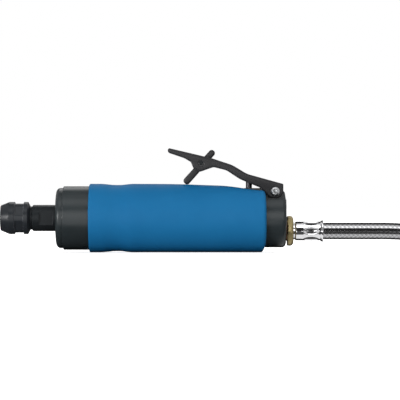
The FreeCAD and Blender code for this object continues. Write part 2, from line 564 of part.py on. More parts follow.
def make_throttle_housing():
    shoulder = d.barrel_end + d.gasket_thickness
    body = turned("throttle_housing", [
        (d.stack_end, d.spigot_bore_radius), (d.stack_end, d.stack_radius), (shoulder, d.stack_radius),
        (shoulder, d.barrel_radius), (d.sleeve_end, d.barrel_radius), (d.sleeve_end, d.lip_radius),
        (d.housing_end, d.lip_radius, d.housing_round), (d.housing_end, ZERO), (d.spigot_floor, ZERO),
        (d.spigot_floor, d.spigot_bore_radius),
    ], z=d.axis_height)
    wide = d.lip_radius + 2
    cut(body, "XZ_Plane", [box_loop(d.flat_start, d.ledge_start, d.flat_height, d.above_all)], -wide, wide * 2)
    cut(body, "XZ_Plane", [box_loop(d.ledge_start, d.housing_end, d.ledge_height, d.above_all)], -wide, wide * 2)
    pad(body, "XZ_Plane", [[
        (d.boss_start, d.ledge_height - 2), (d.boss_start, d.boss_height, 1.0), (d.ear_foot, d.boss_height, 2.0),
        (d.ear_top_front, d.ear_top, 2.0), (d.ear_top_rear, d.ear_top, 2.5), (d.ear_rear, d.ear_shoulder, 1.5),
        (d.housing_end, d.ledge_height), (d.housing_end, d.ledge_height - 2),
    ]], -d.boss_half_width, d.boss_half_width * 2)
    pivot = (d.pivot_x, d.pivot_z - d.axis_height, d.pivot_pin_radius)
    cut(body, "XZ_Plane", [pivot], -wide, wide * 2)
    inlet = d.inlet_height - d.axis_height
    cut(body, "YZ_Plane", [(ZERO, inlet, d.inlet_thread_radius)], d.inlet_floor, d.housing_end - d.inlet_floor)
    cut(body, "YZ_Plane", [(ZERO, inlet, d.inlet_bore_radius)], d.valve_x, d.inlet_floor - d.valve_x)
    floor = -d.barrel_radius - 1
    for radius, low, high in (
        (d.valve_bore_radius, floor, d.seat_top - d.axis_height),
        (d.chamber_radius, d.seat_top - d.axis_height, d.chamber_top - d.axis_height),
        (d.plunger_bore_radius, d.chamber_top - d.axis_height, d.bush_floor - d.axis_height),
        (d.bush_radius, d.bush_floor - d.axis_height, d.boss_height),
    ):
        cut(body, "XY_Plane", [(d.valve_x, ZERO, radius)], low, high - low)
    cut(body, "YZ_Plane", [(ZERO, d.air_bore_height, d.air_bore_radius)], d.spigot_floor, d.valve_x - d.spigot_floor)
    exhausts = [(d.exhaust_side, d.exhaust_height, d.exhaust_radius),
                (-d.exhaust_side, d.exhaust_height, d.exhaust_radius)]
    cut(body, "YZ_Plane", exhausts, d.spigot_floor, d.housing_end - d.spigot_floor)
    plugs = [primitive("Cylinder", x=d.housing_end - d.muffler_depth, y=side, z=d.axis_height + d.exhaust_height,
                       about=(0, 1, 0), angle=90, Radius=d.exhaust_radius, Height=d.muffler_depth)
             for side in (d.exhaust_side, -d.exhaust_side)]
    compound(plugs, "exhaust_mufflers")


# ---- the lever and its catch ----

def make_lever():
    """The lever is a channel, open below, whose two cheeks straddle the housing's ear."""
    body = new_body("throttle_lever", x=d.pivot_x, z=d.pivot_z)
    pad(body, "XZ_Plane", [[
        (d.tip_x, d.tip_top, 1.2), (d.knee_x, d.knee_top), (d.bend_x, d.bend_top, 14.0),
        (d.heel_x, d.heel_top, 14.0), (d.tail_x, d.tail_top, 0.5), (d.tail_x, d.tail_bottom, 3.6),
        (d.cheek_front_x, d.tail_bottom, 2.5), (d.cheek_foot_x, d.cheek_foot_z, 2.0),
        (d.under_heel_x, d.under_heel_z, 14.0), (d.under_bend_x, d.under_bend_z, 8.0),
        (d.lug_rear_x, d.lug_rear_z, 3.0), (d.lug_low_x, d.lug_low_z, 1.5), (d.lug_front_x, d.lug_front_z, 1.5),
        (d.under_tip_x, d.under_tip_z, 6.0), (d.tip_x, d.tip_bottom, 1.1),
    ]], -d.lever_half_width, d.lever_half_width * 2)
    below = d.tail_bottom - 2
    cut(body, "XZ_Plane", [[
        (d.channel_front, d.under_tip_z + 2.9), (d.knee_x, d.knee_top - d.lever_wall),
        (d.bend_x - 0.4, d.bend_top - d.lever_wall, 12.0), (d.heel_x - 0.4, d.heel_top - d.lever_wall, 12.0),
        (d.tail_x + 2, d.tail_top - d.lever_wall - 0.5), (d.tail_x + 2, below), (d.channel_front, below),
    ]], -d.channel_half_width, d.channel_half_width * 2)
    cut(body, "XY_Plane", [box_loop(d.slot_front, d.slot_rear, -d.slot_half_width, d.slot_half_width)],
        d.lug_low_z, d.above_all)
    catch = (d.catch_x - d.pivot_x, d.catch_z - d.pivot_z, d.catch_pin_radius)
    for hole in ((ZERO, ZERO, d.pivot_pin_radius + d.pivot_clearance), catch):
        cut(body, "XZ_Plane", [hole], -d.lever_half_width - 1, d.lever_half_width * 2 + 2)


def make_pivot_screw():
    body = new_body("lever_pivot_screw", x=d.pivot_x, y=-d.lever_half_width - d.pivot_clearance, z=d.pivot_z)
    pad(body, "XZ_Plane", [(ZERO, ZERO, d.pivot_pin_radius)], -d.lever_half_width * 2 - d.pivot_nut_height,
        d.lever_half_width * 2 + d.pivot_nut_height)
    top = -d.screw_head_height
    turn(body, [(0, 0), (0, d.screw_head_radius), (top * 0.4, d.screw_head_radius, 0.3),
                (top, d.screw_head_radius * 0.55, 0.5), (top, 0)], axis="Y_Axis", plane="YZ_Plane")
    cut(body, "XZ_Plane", [hexagon(d.socket_flats)], d.screw_head_height - d.socket_depth, d.socket_depth)
    nut = new_body("lever_pivot_nut", x=d.pivot_x, y=d.lever_half_width + d.pivot_clearance, z=d.pivot_z)
    pad(nut, "XZ_Plane", [hexagon(d.pivot_nut_flats), (ZERO, ZERO, d.pivot_pin_radius)], -d.pivot_nut_height,
        d.pivot_nut_height)


def make_catch():
    """The catch is a bar with a hub. Its own x axis runs along the bar, from its foot to its tab."""
    body = new_body("safety_catch", x=d.catch_x, z=d.catch_z, about=(0, 1, 0), angle=-d.catch_angle.value)
    middle = d.catch_offset
    pad(body, "XZ_Plane", [[
        (-d.foot_reach, middle - d.leg_half, d.leg_half - 0.1), (d.tab_reach, middle - d.tab_half, d.tab_half - 0.1),
        (d.tab_reach, middle + d.tab_half, d.tab_half - 0.1), (-d.foot_reach, middle + d.leg_half, d.leg_half - 0.1),
    ]], -d.catch_half_width, d.catch_half_width * 2)
    pad(body, "XZ_Plane", [(ZERO, ZERO, d.hub_radius)], -d.catch_half_width, d.catch_half_width * 2)
    cut(body, "XZ_Plane", [(ZERO, ZERO, d.catch_pin_radius + d.pivot_clearance)], -d.catch_half_width - 1,
        d.catch_half_width * 2 + 2)
    node(primitive("Cylinder", x=d.catch_x, y=d.lever_half_width, z=d.catch_z, about=(1, 0, 0), angle=90,
                   Radius=d.catch_pin_radius, Height=d.lever_half_width * 2), "catch_pin")
    helix_wire("catch_spring", d.catch_spring_radius, d.catch_spring_wire, d.catch_spring_pitch,
               d.catch_spring_turns.value,
               d.catch_x.value, -d.catch_spring_start.value, d.catch_z.value,
               FreeCAD.Rotation(FreeCAD.Vector(1, 0, 0), 90))


# ---- the valve ----

def make_valve():
    def ring(label, low, high, inside, outside):
        turned(label, [(low, inside), (low, outside), (high, outside), (high, inside)], axis="Z_Axis", x=d.valve_x)

    plunger_foot = d.poppet_top
    turned("valve_plunger", [
        (plunger_foot, ZERO), (plunger_foot, d.plunger_radius), (d.plunger_top, d.plunger_radius, d.plunger_dome),
        (d.plunger_top, ZERO),
    ], axis="Z_Axis", x=d.valve_x)
    ring("plunger_bush", d.bush_floor, d.boss_height + d.axis_height, d.plunger_bore_radius, d.bush_radius)
    ring("valve_seat", d.seat_bottom, d.seat_top, d.seat_bore_radius, d.valve_bore_radius)
    ring("poppet_seal", d.poppet_top, d.seal_top, d.plunger_radius, d.poppet_radius)
    turned("valve_poppet", [
        (d.poppet_bottom, ZERO), (d.poppet_bottom, d.poppet_radius), (d.poppet_top, d.poppet_radius),
        (d.poppet_top, ZERO),
    ], axis="Z_Axis", x=d.valve_x)
    plug = turned("valve_plug", [
        (d.plug_bottom, ZERO), (d.plug_bottom, d.valve_bore_radius), (d.spring_seat, d.valve_bore_radius),
        (d.spring_seat, ZERO),
    ], axis="Z_Axis", x=d.valve_x)
    half = d.plug_slot / 2
    cut(plug, "XY_Plane", [box_loop(-d.bush_radius, d.bush_radius, -half, half)], d.plug_bottom, d.plug_slot)
    height = d.poppet_bottom - d.spring_seat - d.spring_wire * 2
    helix_wire("valve_spring", d.spring_radius, d.spring_wire, height / d.spring_turns, d.spring_turns.value,
               d.valve_x.value, 0, (d.spring_seat + d.spring_wire).value, FreeCAD.Rotation())


# ---- the air inlet and the hose ----

def make_inlet():
    bush = turned("inlet_bush", [
        (d.inlet_floor, d.bush_bore_radius), (d.inlet_floor, d.inlet_thread_radius),
        (d.hex_start, d.inlet_thread_radius), (d.hex_start, d.inlet_hex / 2 + 0.9),
        (d.hex_end - d.hex_chamfer * 1.5, d.inlet_hex / 2 + 0.9), (d.hex_end, d.inlet_hex / 2 - d.hex_chamfer),
        (d.hex_end, d.insert_radius), (d.insert_start, d.insert_radius), (d.insert_start, d.bush_bore_radius),
    ], z=d.inlet_height)
    keep_hexagon(bush, "YZ_Plane", d.inlet_hex, d.hex_start, d.hex_end - d.hex_start)
    turned("inlet_seal_ring", [
        (d.housing_end, d.inlet_thread_radius), (d.housing_end, d.seal_ring_radius),
        (d.hex_start, d.seal_ring_radius), (d.hex_start, d.inlet_thread_radius),
    ], z=d.inlet_height)
    inner = d.strainer_radius - d.strainer_wall
    turned("inlet_strainer", [
        (d.inlet_floor, inner), (d.inlet_floor, d.strainer_radius), (d.strainer_start, d.strainer_radius, 0.8),
        (d.strainer_start, ZERO), (d.strainer_start + d.strainer_wall, ZERO),
        (d.strainer_start + d.strainer_wall, inner, 0.4),
    ], z=d.inlet_height)
    turned("hose_insert", [
        (d.insert_start, d.insert_bore_radius), (d.insert_start, d.insert_radius), (d.hex_end, d.insert_radius),
        (d.hex_end, d.neck_radius), (d.ferrule_start, d.neck_radius), (d.ferrule_start, d.insert_radius),
        (d.ferrule_end, d.insert_radius), (d.ferrule_end, d.insert_bore_radius),
    ], z=d.inlet_height)
    ferrule = turned("hose_ferrule", [
        (d.ferrule_start, d.insert_radius), (d.ferrule_start, d.ferrule_radius, d.ferrule_round),
        (d.ferrule_lip, d.ferrule_radius), (d.ferrule_end - 0.3, d.lip_flare), (d.ferrule_end, d.lip_flare),
        (d.ferrule_end, d.insert_radius),
    ], z=d.inlet_height)
    side = d.dimple_half_width
    slant = side * 0.6
    dimple = cut(ferrule, "XY_Plane", [[
        (d.dimple_start, -side + slant), (d.dimple_start + slant, -side), (d.dimple_end - slant, -side),
        (d.dimple_end, -side + slant), (d.dimple_end, side - slant), (d.dimple_end - slant, side),
        (d.dimple_start + slant, side), (d.dimple_start, side - slant),
    ]], d.ferrule_radius - d.dimple_depth, d.dimple_depth + 1)
    repeat_round(ferrule, [dimple], d.dimple_count)


# The hose leaves the ferrule level, comes down to the floor and runs into its coil.
HOSE_ROUTE = [(103.1, 0.0, 12.5), (153.0, 0.0, 12.5), (185.0, 0.0, 7.6), (217.0, 0.0, 4.85)]


def rounded_path(route):
    """Straight runs joined by tangent arcs, each as large as its two runs allow."""
    corners = [FreeCAD.Vector(*point) for point in route]
    edges, here, radii = [], corners[0], []
    for before, corner, after in zip(corners, corners[1:], corners[2:]):
        back, ahead = before - corner, after - corner
        half_turn = (math.pi - back.getAngle(ahead)) / 2
        reach = 0.45 * min(back.Length, ahead.Length)
        radius = reach / math.tan(half_turn)
        back.normalize()
        ahead.normalize()
        start, end = corner + back * reach, corner + ahead * reach
        bulge = (back + ahead).normalize() * (radius / math.cos(half_turn) - radius)
        edges.append(Part.LineSegment(here, start).toShape())
        edges.append(Part.Arc(start, corner + bulge, end).toShape())
        here = end
        radii.append(round(radius, 1))
    edges.append(Part.LineSegment(here, corners[-1]).toShape())
    return Part.Wire(edges), radii


def make_hose():
    path, radii = rounded_path(HOSE_ROUTE)
    heading = path.Edges[0].tangentAt(path.Edges[0].FirstParameter)
    section = Part.Wire([Part.Circle(FreeCAD.Vector(*HOSE_ROUTE[0]), heading, d.hose_radius.value).toShape()])
    lead = doc.addObject("Part::Feature", "hose_lead")
    lead.Shape = path.makePipeShell([section], True, False)
    node(lead, "hose_lead")
    expected = math.pi * d.hose_radius.value ** 2 * path.Length
    print(f"hose lead: radii {radii} mm, length {path.Length:.1f} mm")
    print(f"hose lead: volume ratio {lead.Shape.Volume / expected:.4f}")
    make_coil()
    make_end_fitting()


def make_coil():
    """The outer shape of the wound hose: a full ring, and above it a ring with a gap for the end fitting."""
    inside, outside = d.coil_radius - d.hose_radius, d.coil_radius + d.hose_radius
    top = d.coil_end_height + d.hose_radius
    low_outer = primitive("Cylinder", Radius=outside, Height=d.coil_low_height)
    low_inner = primitive("Cylinder", Radius=inside, Height=d.coil_low_height)
    sweep = sized(360) - d.coil_gap_angle
    high_outer = primitive("Cylinder", Radius=outside, Height=top, Angle=sweep)
    high_inner = primitive("Cylinder", Radius=inside, Height=top)
    low = boolean("Cut", low_outer, low_inner)
    high = boolean("Cut", high_outer, high_inner)
    high.Placement = FreeCAD.Placement(FreeCAD.Vector(), FreeCAD.Rotation(90 + d.coil_gap_angle.value, 0, 0))
    coil = boolean("Fuse", low, high, "hose_coil")
    place(coil, x=d.coil_x, y=d.coil_radius)


def make_end_fitting():
    """A crimped ferrule, a hexagon and a pipe thread. The fitting's own X axis points along the hose's end."""
    hexagon_start = d.end_ferrule_length
    thread_start = hexagon_start + d.end_hex_length
    end = thread_start + d.end_thread_length
    body = turned("hose_end_fitting", [
        (ZERO, ZERO), (ZERO, d.ferrule_radius, 0.5), (hexagon_start - 2, d.ferrule_radius, 0.5),
        (hexagon_start - 2, d.end_neck_radius - 0.6), (hexagon_start, d.end_neck_radius - 0.6),
        (hexagon_start, d.end_hex / 2 + 0.8), (thread_start, d.end_hex / 2 + 0.8),
        (thread_start, d.end_neck_radius), (thread_start + 1, d.end_neck_radius),
        (thread_start + 1, d.end_thread_radius), (end, d.end_thread_radius), (end, d.end_bore_radius),
        (hexagon_start, d.end_bore_radius), (hexagon_start, ZERO),
    ], x=d.coil_x, y=d.coil_radius * 2, z=d.coil_end_height, about=(0, 0, 1), angle=180)
    keep_hexagon(body, "YZ_Plane", d.end_hex, hexagon_start, d.end_hex_length)


make_collet_nut()
make_collet()
make_spindle()
make_bearing("front", d.front_bearing_x, d.front_bearing_width, d.front_ball_radius, d.front_ball_circle,
             d.front_ball_count, d.shaft_radius, d.front_inner_land, d.front_outer_land, d.front_bearing_radius)
make_bearing("rear", d.rear_bearing_x, d.rear_bearing_width, d.rear_ball_radius, d.rear_ball_circle,
             d.rear_ball_count, d.shaft_end_radius, d.rear_inner_land, d.rear_outer_land, d.rear_bearing_radius)
make_motor()
make_front_cap()
make_motor_housing()
make_grip_sleeve()
make_throttle_housing()
make_lever()
make_pivot_screw()
make_catch()
make_valve()
make_inlet()
make_hose()

doc.recompute()
broken = [thing.Label for thing in doc.Objects if "Invalid" in thing.State or "Error" in thing.State]
broken += [thing.Label for thing in nodes if thing.Shape.isNull() or not thing.Shape.isValid()]
if broken:
    raise RuntimeError(f"these objects failed: {broken}")
os.makedirs("parts", exist_ok=True)
for thing in nodes:
    thing.Shape.exportStep(f"parts/{thing.Label}.step")
print(f"{len(nodes)} parts written")
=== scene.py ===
import json
import math

import bmesh
import bpy
from mathutils import Matrix, Vector


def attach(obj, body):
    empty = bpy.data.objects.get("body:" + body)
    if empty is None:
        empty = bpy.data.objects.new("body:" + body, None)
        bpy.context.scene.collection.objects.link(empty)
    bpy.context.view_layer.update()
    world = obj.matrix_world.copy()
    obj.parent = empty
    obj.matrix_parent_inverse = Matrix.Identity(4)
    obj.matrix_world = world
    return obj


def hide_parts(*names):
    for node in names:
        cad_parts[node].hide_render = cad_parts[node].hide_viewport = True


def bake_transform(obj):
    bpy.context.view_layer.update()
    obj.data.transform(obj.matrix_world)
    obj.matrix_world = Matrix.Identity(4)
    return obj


# A pneumatic die grinder with a blue grip sleeve and a braided air hose. Lengths are in millimetres, in the
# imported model's frame, and become metres where a mesh is made. Places on the floor and of the lights are in
# metres.

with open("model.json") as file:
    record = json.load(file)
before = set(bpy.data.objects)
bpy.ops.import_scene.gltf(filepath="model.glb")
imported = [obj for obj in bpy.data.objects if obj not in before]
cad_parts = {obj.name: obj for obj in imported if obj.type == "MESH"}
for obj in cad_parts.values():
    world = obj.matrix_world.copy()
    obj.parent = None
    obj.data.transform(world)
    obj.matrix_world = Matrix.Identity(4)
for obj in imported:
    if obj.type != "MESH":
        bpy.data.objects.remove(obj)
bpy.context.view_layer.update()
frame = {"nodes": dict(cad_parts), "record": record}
scene = bpy.context.scene
nodes = frame["nodes"]

MM = 0.001
AXIS = 20.1
SIDES = 144
SHARP_ANGLE = math.radians(32)
SOFTENED_ANGLE = math.radians(40)     # the segments of a softened edge meet at less than this
SMALLEST_GAP = 1e-7                   # metres


# ---- the camera ----

VIEW_CENTRE = (31.1, 0.0, 30.7)
VIEW_DISTANCE = 1200.0
LENS, SENSOR_WIDTH = 184, 36
camera = bpy.data.objects.new("camera", bpy.data.cameras.new("camera"))
scene.collection.objects.link(camera)
camera.data.lens, camera.data.sensor_width = LENS, SENSOR_WIDTH
camera.location = (VIEW_CENTRE[0] * MM, (VIEW_CENTRE[1] - VIEW_DISTANCE) * MM,
                   VIEW_CENTRE[2] * MM)
camera.rotation_euler = (math.radians(90), 0, 0)
scene.camera = camera
scene.view_settings.view_transform = "Standard"
scene.view_settings.look = "None"


# ---- meshes ----

def mesh_piece(name, points, faces, uvs=None):
    """A Blender object from points in millimetres and faces."""
    mesh = bpy.data.meshes.new(name)
    mesh.from_pydata([tuple(c * MM for c in p) for p in points], [], faces)
    mesh.validate()
    if uvs:
        layer = mesh.uv_layers.new(name="UVMap")
        for loop in mesh.loops:
            layer.data[loop.index].uv = uvs[loop.vertex_index]
    piece = bpy.data.objects.new(name, mesh)
    scene.collection.objects.link(piece)
    return piece


def face_outward(piece):
    """Joins doubled points and turns every face of a closed mesh outward."""
    made = bmesh.new()
    made.from_mesh(piece.data)
    bmesh.ops.remove_doubles(made, verts=made.verts, dist=SMALLEST_GAP)
    bmesh.ops.recalc_face_normals(made, faces=made.faces)
    made.to_mesh(piece.data)
    made.free()


def smooth(piece, angle=SHARP_ANGLE):
    """Smooth shading, with sharp edges where two faces meet at more than the angle."""
    piece.data.shade_smooth()
    piece.data.set_sharp_from_angle(angle=angle)


def settle(piece):
    """Applies the piece's modifiers."""
    bpy.context.view_layer.update()
    shown = piece.evaluated_get(bpy.context.evaluated_depsgraph_get())
    mesh = bpy.data.meshes.new_from_object(shown)
    piece.modifiers.clear()
    piece.data = mesh


def carve(piece, *cutters, operation="DIFFERENCE"):
    """Cuts other pieces out of a piece, or joins them to it, and uses them up."""
    for cutter in cutters:
        change = piece.modifiers.new("carve", "BOOLEAN")
        change.object, change.operation, change.solver = cutter, operation, "EXACT"
        settle(piece)
        bpy.data.objects.remove(cutter)


def soften(piece, width):
    """Rounds the sharp edges by a width."""
    change = piece.modifiers.new("soften", "BEVEL")
    change.width, change.segments = width * MM, 3
    change.limit_method, change.angle_limit = "ANGLE", SHARP_ANGLE
    settle(piece)
    smooth(piece, SOFTENED_ANGLE)


def rounded(points, closed=False, steps=5):
    """Replaces each corner that has a third number by an arc of that radius."""
    made = []
    for i, point in enumerate(points):
        here = Vector(point[:2])
        if len(point) < 3 or (not closed and i in (0, len(points) - 1)):
            made.append(here)
            continue
        back = Vector(points[i - 1][:2]) - here
        ahead = Vector(points[(i + 1) % len(points)][:2]) - here
        half = back.angle(ahead) / 2
        reach = min(point[2] / math.tan(half), 0.49 * back.length, 0.49 * ahead.length)
        back.normalize()
        ahead.normalize()
        centre = here + (back + ahead).normalized() * (reach / math.cos(half))
        start, end = here + back * reach - centre, here + ahead * reach - centre
        sweep = start.angle(end)
        for k in range(steps + 1):
            share = k / steps
            spread = start * math.sin((1 - share) * sweep) + end * math.sin(share * sweep)
            made.append(centre + spread / math.sin(sweep))
    return made


def flat_radius(radius, angle, flats):
    """How far out a round section reaches at an angle.

    Flats are (their number, half the distance across them, the angle of the first).
    """
    if not flats:
        return radius
    count, apothem, phase = flats
    step = 2 * math.pi / count
    away = (angle - phase + step / 2) % step - step / 2
    return min(radius, apothem / math.cos(away))


def ring(x, radius, flats=None, sides=SIDES):
    """Points round the X axis. Radius is a number, or a function of the angle."""
    points = []
    for k in range(sides):
        angle = 2 * math.pi * k / sides
        reach = radius(angle) if callable(radius) else flat_radius(radius, angle, flats)
        points.append((x, reach * math.cos(angle), reach * math.sin(angle)))
    return points


def skin(name, rings, place=None, loop=False):
    """Joins rings of points by faces, and closes the first and last one unless they loop."""
    sides = len(rings[0])
    points = [Vector(p) for one in rings for p in one]
    if place is not None:
        points = [place @ p for p in points]
    faces = []
    last = len(rings) if loop else len(rings) - 1
    for i in range(last):
        a, b = i * sides, (i + 1) % len(rings) * sides
        faces += [(a + k, a + (k + 1) % sides, b + (k + 1) % sides, b + k) for k in range(sides)]
    if not loop:
        faces += [tuple(range(sides)), tuple(range(len(points) - 1, len(points) - 1 - sides, -1))]
    piece = mesh_piece(name, points, faces)
    face_outward(piece)
    smooth(piece)
    return piece


def turned(name, profile, place, sides):
    """A profile of (x, radius, rounding) turned round the X axis."""
    return skin(name, [ring(p.x, p.y, sides=sides) for p in rounded(profile)], place)


def prism(name, outline, low, high, steps=5):
    """An outline in X and Z, with roundings, drawn out along Y."""
    line = rounded(outline, closed=True, steps=steps)
    return skin(name, [[(p.x, y, p.y) for p in line] for y in (low, high)])


def at(x=0.0, y=0.0, z=0.0, turn=0.0):
    """A place, and a turn in degrees about the vertical."""
    return Matrix.Translation((x, y, z)) @ Matrix.Rotation(math.radians(turn), 4, "Z")


def circle(x, z, y, radius, sides):
    """Points round a centre in X and Z."""
    angles = [2 * math.pi * k / sides for k in range(sides)]
    return [(x + radius * math.cos(angle), y, z + radius * math.sin(angle)) for angle in angles]


def pin(name, x, z, radius, half, sides=32):
    """A round bar across the tool, between -half and half in Y."""
    return skin(name, [circle(x, z, y, radius, sides) for y in (-half, half)])


def block(name, x0, x1, y0, y1, z0, z1):
    return skin(name, [[(x, y0, z0), (x, y1, z0), (x, y1, z1), (x, y0, z1)] for x in (x0, x1)])


def ease(x, start, end):
    """A smooth step from 0 at the start to 1 at the end."""
    share = min(1.0, max(0.0, (x - start) / (end - start)))
    return share * share * (3 - 2 * share)


# ---- the hose, which is the one cord ----

HOSE_RADIUS = 4.85
HOSE_HEIGHT = 12.5
LEAD_ROUTE = [(103.1, 0.0, HOSE_HEIGHT), (121.0, 0.0, HOSE_HEIGHT), (153.0, 0.0, HOSE_HEIGHT),
              (185.0, 0.0, 7.6)]
COIL_RADIUS = 53.5
COIL_CENTRE = (217.0, COIL_RADIUS)
COIL_TURNS = 2.5
COIL_POINTS = 16          # to a turn
SPLINE_CUT = 1.0195       # a spline of order 3 runs inside its control points by this much on such a coil
TURN_HEIGHT = 9.8
CLIMB_START, CLIMB_END = 0.72, 1.0
END_RISE_START, END_RISE_END, END_HEIGHT = 2.2, COIL_TURNS - 0.04, 26.75
SPLINE_STEPS = 24
BRAID_CARRIERS = 12
BRAID_DEPTH = 0.06
BRAID_MIDDLE = 0.4        # the share of the weave that lies inside the hose's radius
HOSE_SIDES = 48
HOSE_STEP = 0.64


def coil_height(turn):
    """Each turn lies flat on the one below it, and climbs a diameter where it comes round to its start."""
    whole, part = divmod(turn, 1.0)
    height = HOSE_RADIUS + TURN_HEIGHT * (whole + ease(part, CLIMB_START, CLIMB_END))
    top = HOSE_RADIUS + 2 * TURN_HEIGHT
    return height + (END_HEIGHT - top) * ease(turn, END_RISE_START, END_RISE_END)


def coil_route():
    """The coil's control points, from the lead's end on the floor to the free end."""
    last = int(COIL_TURNS * COIL_POINTS)
    points = []
    for k in range(last + 1):
        turn = k / COIL_POINTS
        angle = 2 * math.pi * turn - math.pi / 2
        reach = COIL_RADIUS * (SPLINE_CUT if 0 < k < last else 1)
        points.append((COIL_CENTRE[0] + reach * math.cos(angle), COIL_CENTRE[1] + reach * math.sin(angle),
                       coil_height(turn)))
    return points


def spline_line(route):
    """Points along a spline of order 3 that starts and ends at the route's ends."""
    curve = bpy.data.curves.new("hose_line", "CURVE")
    curve.dimensions = "3D"
    curve.resolution_u = SPLINE_STEPS
    spline = curve.splines.new("NURBS")
    spline.points.add(len(route) - 1)
    for control, point in zip(spline.points, route):
        control.co = (*(c * MM for c in point), 1)
    spline.order_u = 3
    spline.use_endpoint_u = True
    thing = bpy.data.objects.new("hose_line", curve)
    mesh = bpy.data.meshes.new_from_object(thing)
    points = [v.co / MM for v in mesh.vertices]
    bpy.data.meshes.remove(mesh)
    bpy.data.objects.remove(thing)
    return points


def evenly(points, step):
    """The same line with its points a step apart, and its length."""
    along = [0.0]
    for a, b in zip(points, points[1:]):
        along.append(along[-1] + (b - a).length)
    count = round(along[-1] / step)
    made, i = [], 0
    for k in range(count + 1):
        target = along[-1] * k / count
        while i < len(points) - 2 and along[i + 1] < target:
            i += 1
        share = (target - along[i]) / (along[i + 1] - along[i])
        made.append(points[i].lerp(points[i + 1], min(1.0, share)))
    return made, along[-1]


hose_line, hose_length = evenly(spline_line(LEAD_ROUTE + coil_route()), HOSE_STEP)


def braided_tube(name, path, radius, step):
    """A tube of interwoven carriers that run both ways round it, each passing over and under the others."""
    points, uvs, faces = [], [], []
    side = Vector((0, 0, 1))
    pitch = 2 * math.pi * radius / BRAID_CARRIERS
    for i, here in enumerate(path):
        ahead = (path[min(i + 1, len(path) - 1)] - path[max(i - 1, 0)]).normalized()
        side = (side - ahead * side.dot(ahead)).normalized()
        across = ahead.cross(side)
        u = i * step / pitch
        for k in range(HOSE_SIDES + 1):
            v = BRAID_CARRIERS * k / HOSE_SIDES
            angle = 2 * math.pi * k / HOSE_SIDES
            weave = math.cos(math.pi * (u + v)) * math.cos(math.pi * (u - v))
            reach = radius + BRAID_DEPTH * (abs(weave) - BRAID_MIDDLE)
            points.append(here + (side * math.cos(angle) + across * math.sin(angle)) * reach)
            uvs.append((u, v))
    row = HOSE_SIDES + 1
    for i in range(len(path) - 1):
        a, b = i * row, (i + 1) * row
        faces += [(a + k, a + k + 1, b + k + 1, b + k) for k in range(HOSE_SIDES)]
    for start in (0, (len(path) - 1) * row):
        faces.append(tuple(start + k for k in range(HOSE_SIDES)))
    return mesh_piece(name, points, faces, uvs)


hose = braided_tube("air_hose", hose_line, HOSE_RADIUS, HOSE_STEP)
face_outward(hose)
hose.data.shade_smooth()
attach(hose, "housing")
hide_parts("hose_lead", "hose_coil")


# ---- materials ----

def linear(red, green, blue):
    """A colour of 0 to 255 as linear light."""
    shares = [c / 255 for c in (red, green, blue)]
    return (*(((c + 0.055) / 1.055) ** 2.4 if c > 10 / 255 else c / 12.92 for c in shares), 1.0)


class Nodes:
    """A short way to write a material's nodes."""

    def __init__(self, name):
        self.material = bpy.data.materials.new(name)
        self.material.use_nodes = True
        self.tree = self.material.node_tree
        self.tree.nodes.clear()
        self.output = self.add("ShaderNodeOutputMaterial")

    def add(self, kind, values=None, **settings):
        made = self.tree.nodes.new(kind)
        for key, value in settings.items():
            setattr(made, key, value)
        for key, value in (values or {}).items():
            if isinstance(value, bpy.types.NodeSocket):
                self.tree.links.new(value, made.inputs[key])
            else:
                made.inputs[key].default_value = value
        return made

    def place(self, stretch=(1, 1, 1)):
        """The piece's own coordinates in metres, stretched."""
        where = self.add("ShaderNodeTexCoord").outputs["Object"]
        return self.add("ShaderNodeMapping", {"Vector": where, "Scale": stretch}).outputs["Vector"]

    def noise(self, scale, detail=3.0, stretch=(1, 1, 1)):
        values = {"Vector": self.place(stretch), "Scale": scale, "Detail": detail, "Roughness": 0.55}
        return self.add("ShaderNodeTexNoise", values).outputs["Fac"]

    def span(self, value, low, high, to_low=0.0, to_high=1.0):
        """A value between low and high, mapped to the other two."""
        return self.add("ShaderNodeMapRange", {"Value": value, "From Min": low, "From Max": high,
                                               "To Min": to_low, "To Max": to_high}).outputs["Result"]

    def math(self, operation, a, b=0.0):
        return self.add("ShaderNodeMath", {0: a, 1: b}, operation=operation).outputs[0]

    def mix(self, share, a, b):
        return self.add("ShaderNodeMix", {0: share, 6: a, 7: b}, data_type="RGBA").outputs[2]

    def bump(self, height, distance, strength=1.0, normal=None):
        """A normal from a height, where the distance is in millimetres."""
        values = {"Height": height, "Distance": distance * MM, "Strength": strength}
        if normal is not None:
            values["Normal"] = normal
        return self.add("ShaderNodeBump", values).outputs["Normal"]

    def finish(self, **values):
        shader = self.add("ShaderNodeBsdfPrincipled", {k.replace("_", " "): v for k, v in values.items()})
        self.tree.links.new(shader.outputs[0], self.output.inputs["Surface"])
        return self.material


TOOL_MARKS = (30, 1, 1)       # stretches a noise into rings round the X axis
COATING_LINES = (40, 1, 1)


def edge_mask(n, radius):
    """Near 1 along convex and concave edges, and the normal that rounds them."""
    soft = n.add("ShaderNodeBevel", {"Radius": radius * MM}, samples=6).outputs["Normal"]
    flat = n.add("ShaderNodeNewGeometry").outputs["Normal"]
    match = n.add("ShaderNodeVectorMath", {0: soft, 1: flat}, operation="DOT_PRODUCT").outputs["Value"]
    return n.span(n.math("SUBTRACT", 1.0, match), 0.02, 0.25), soft


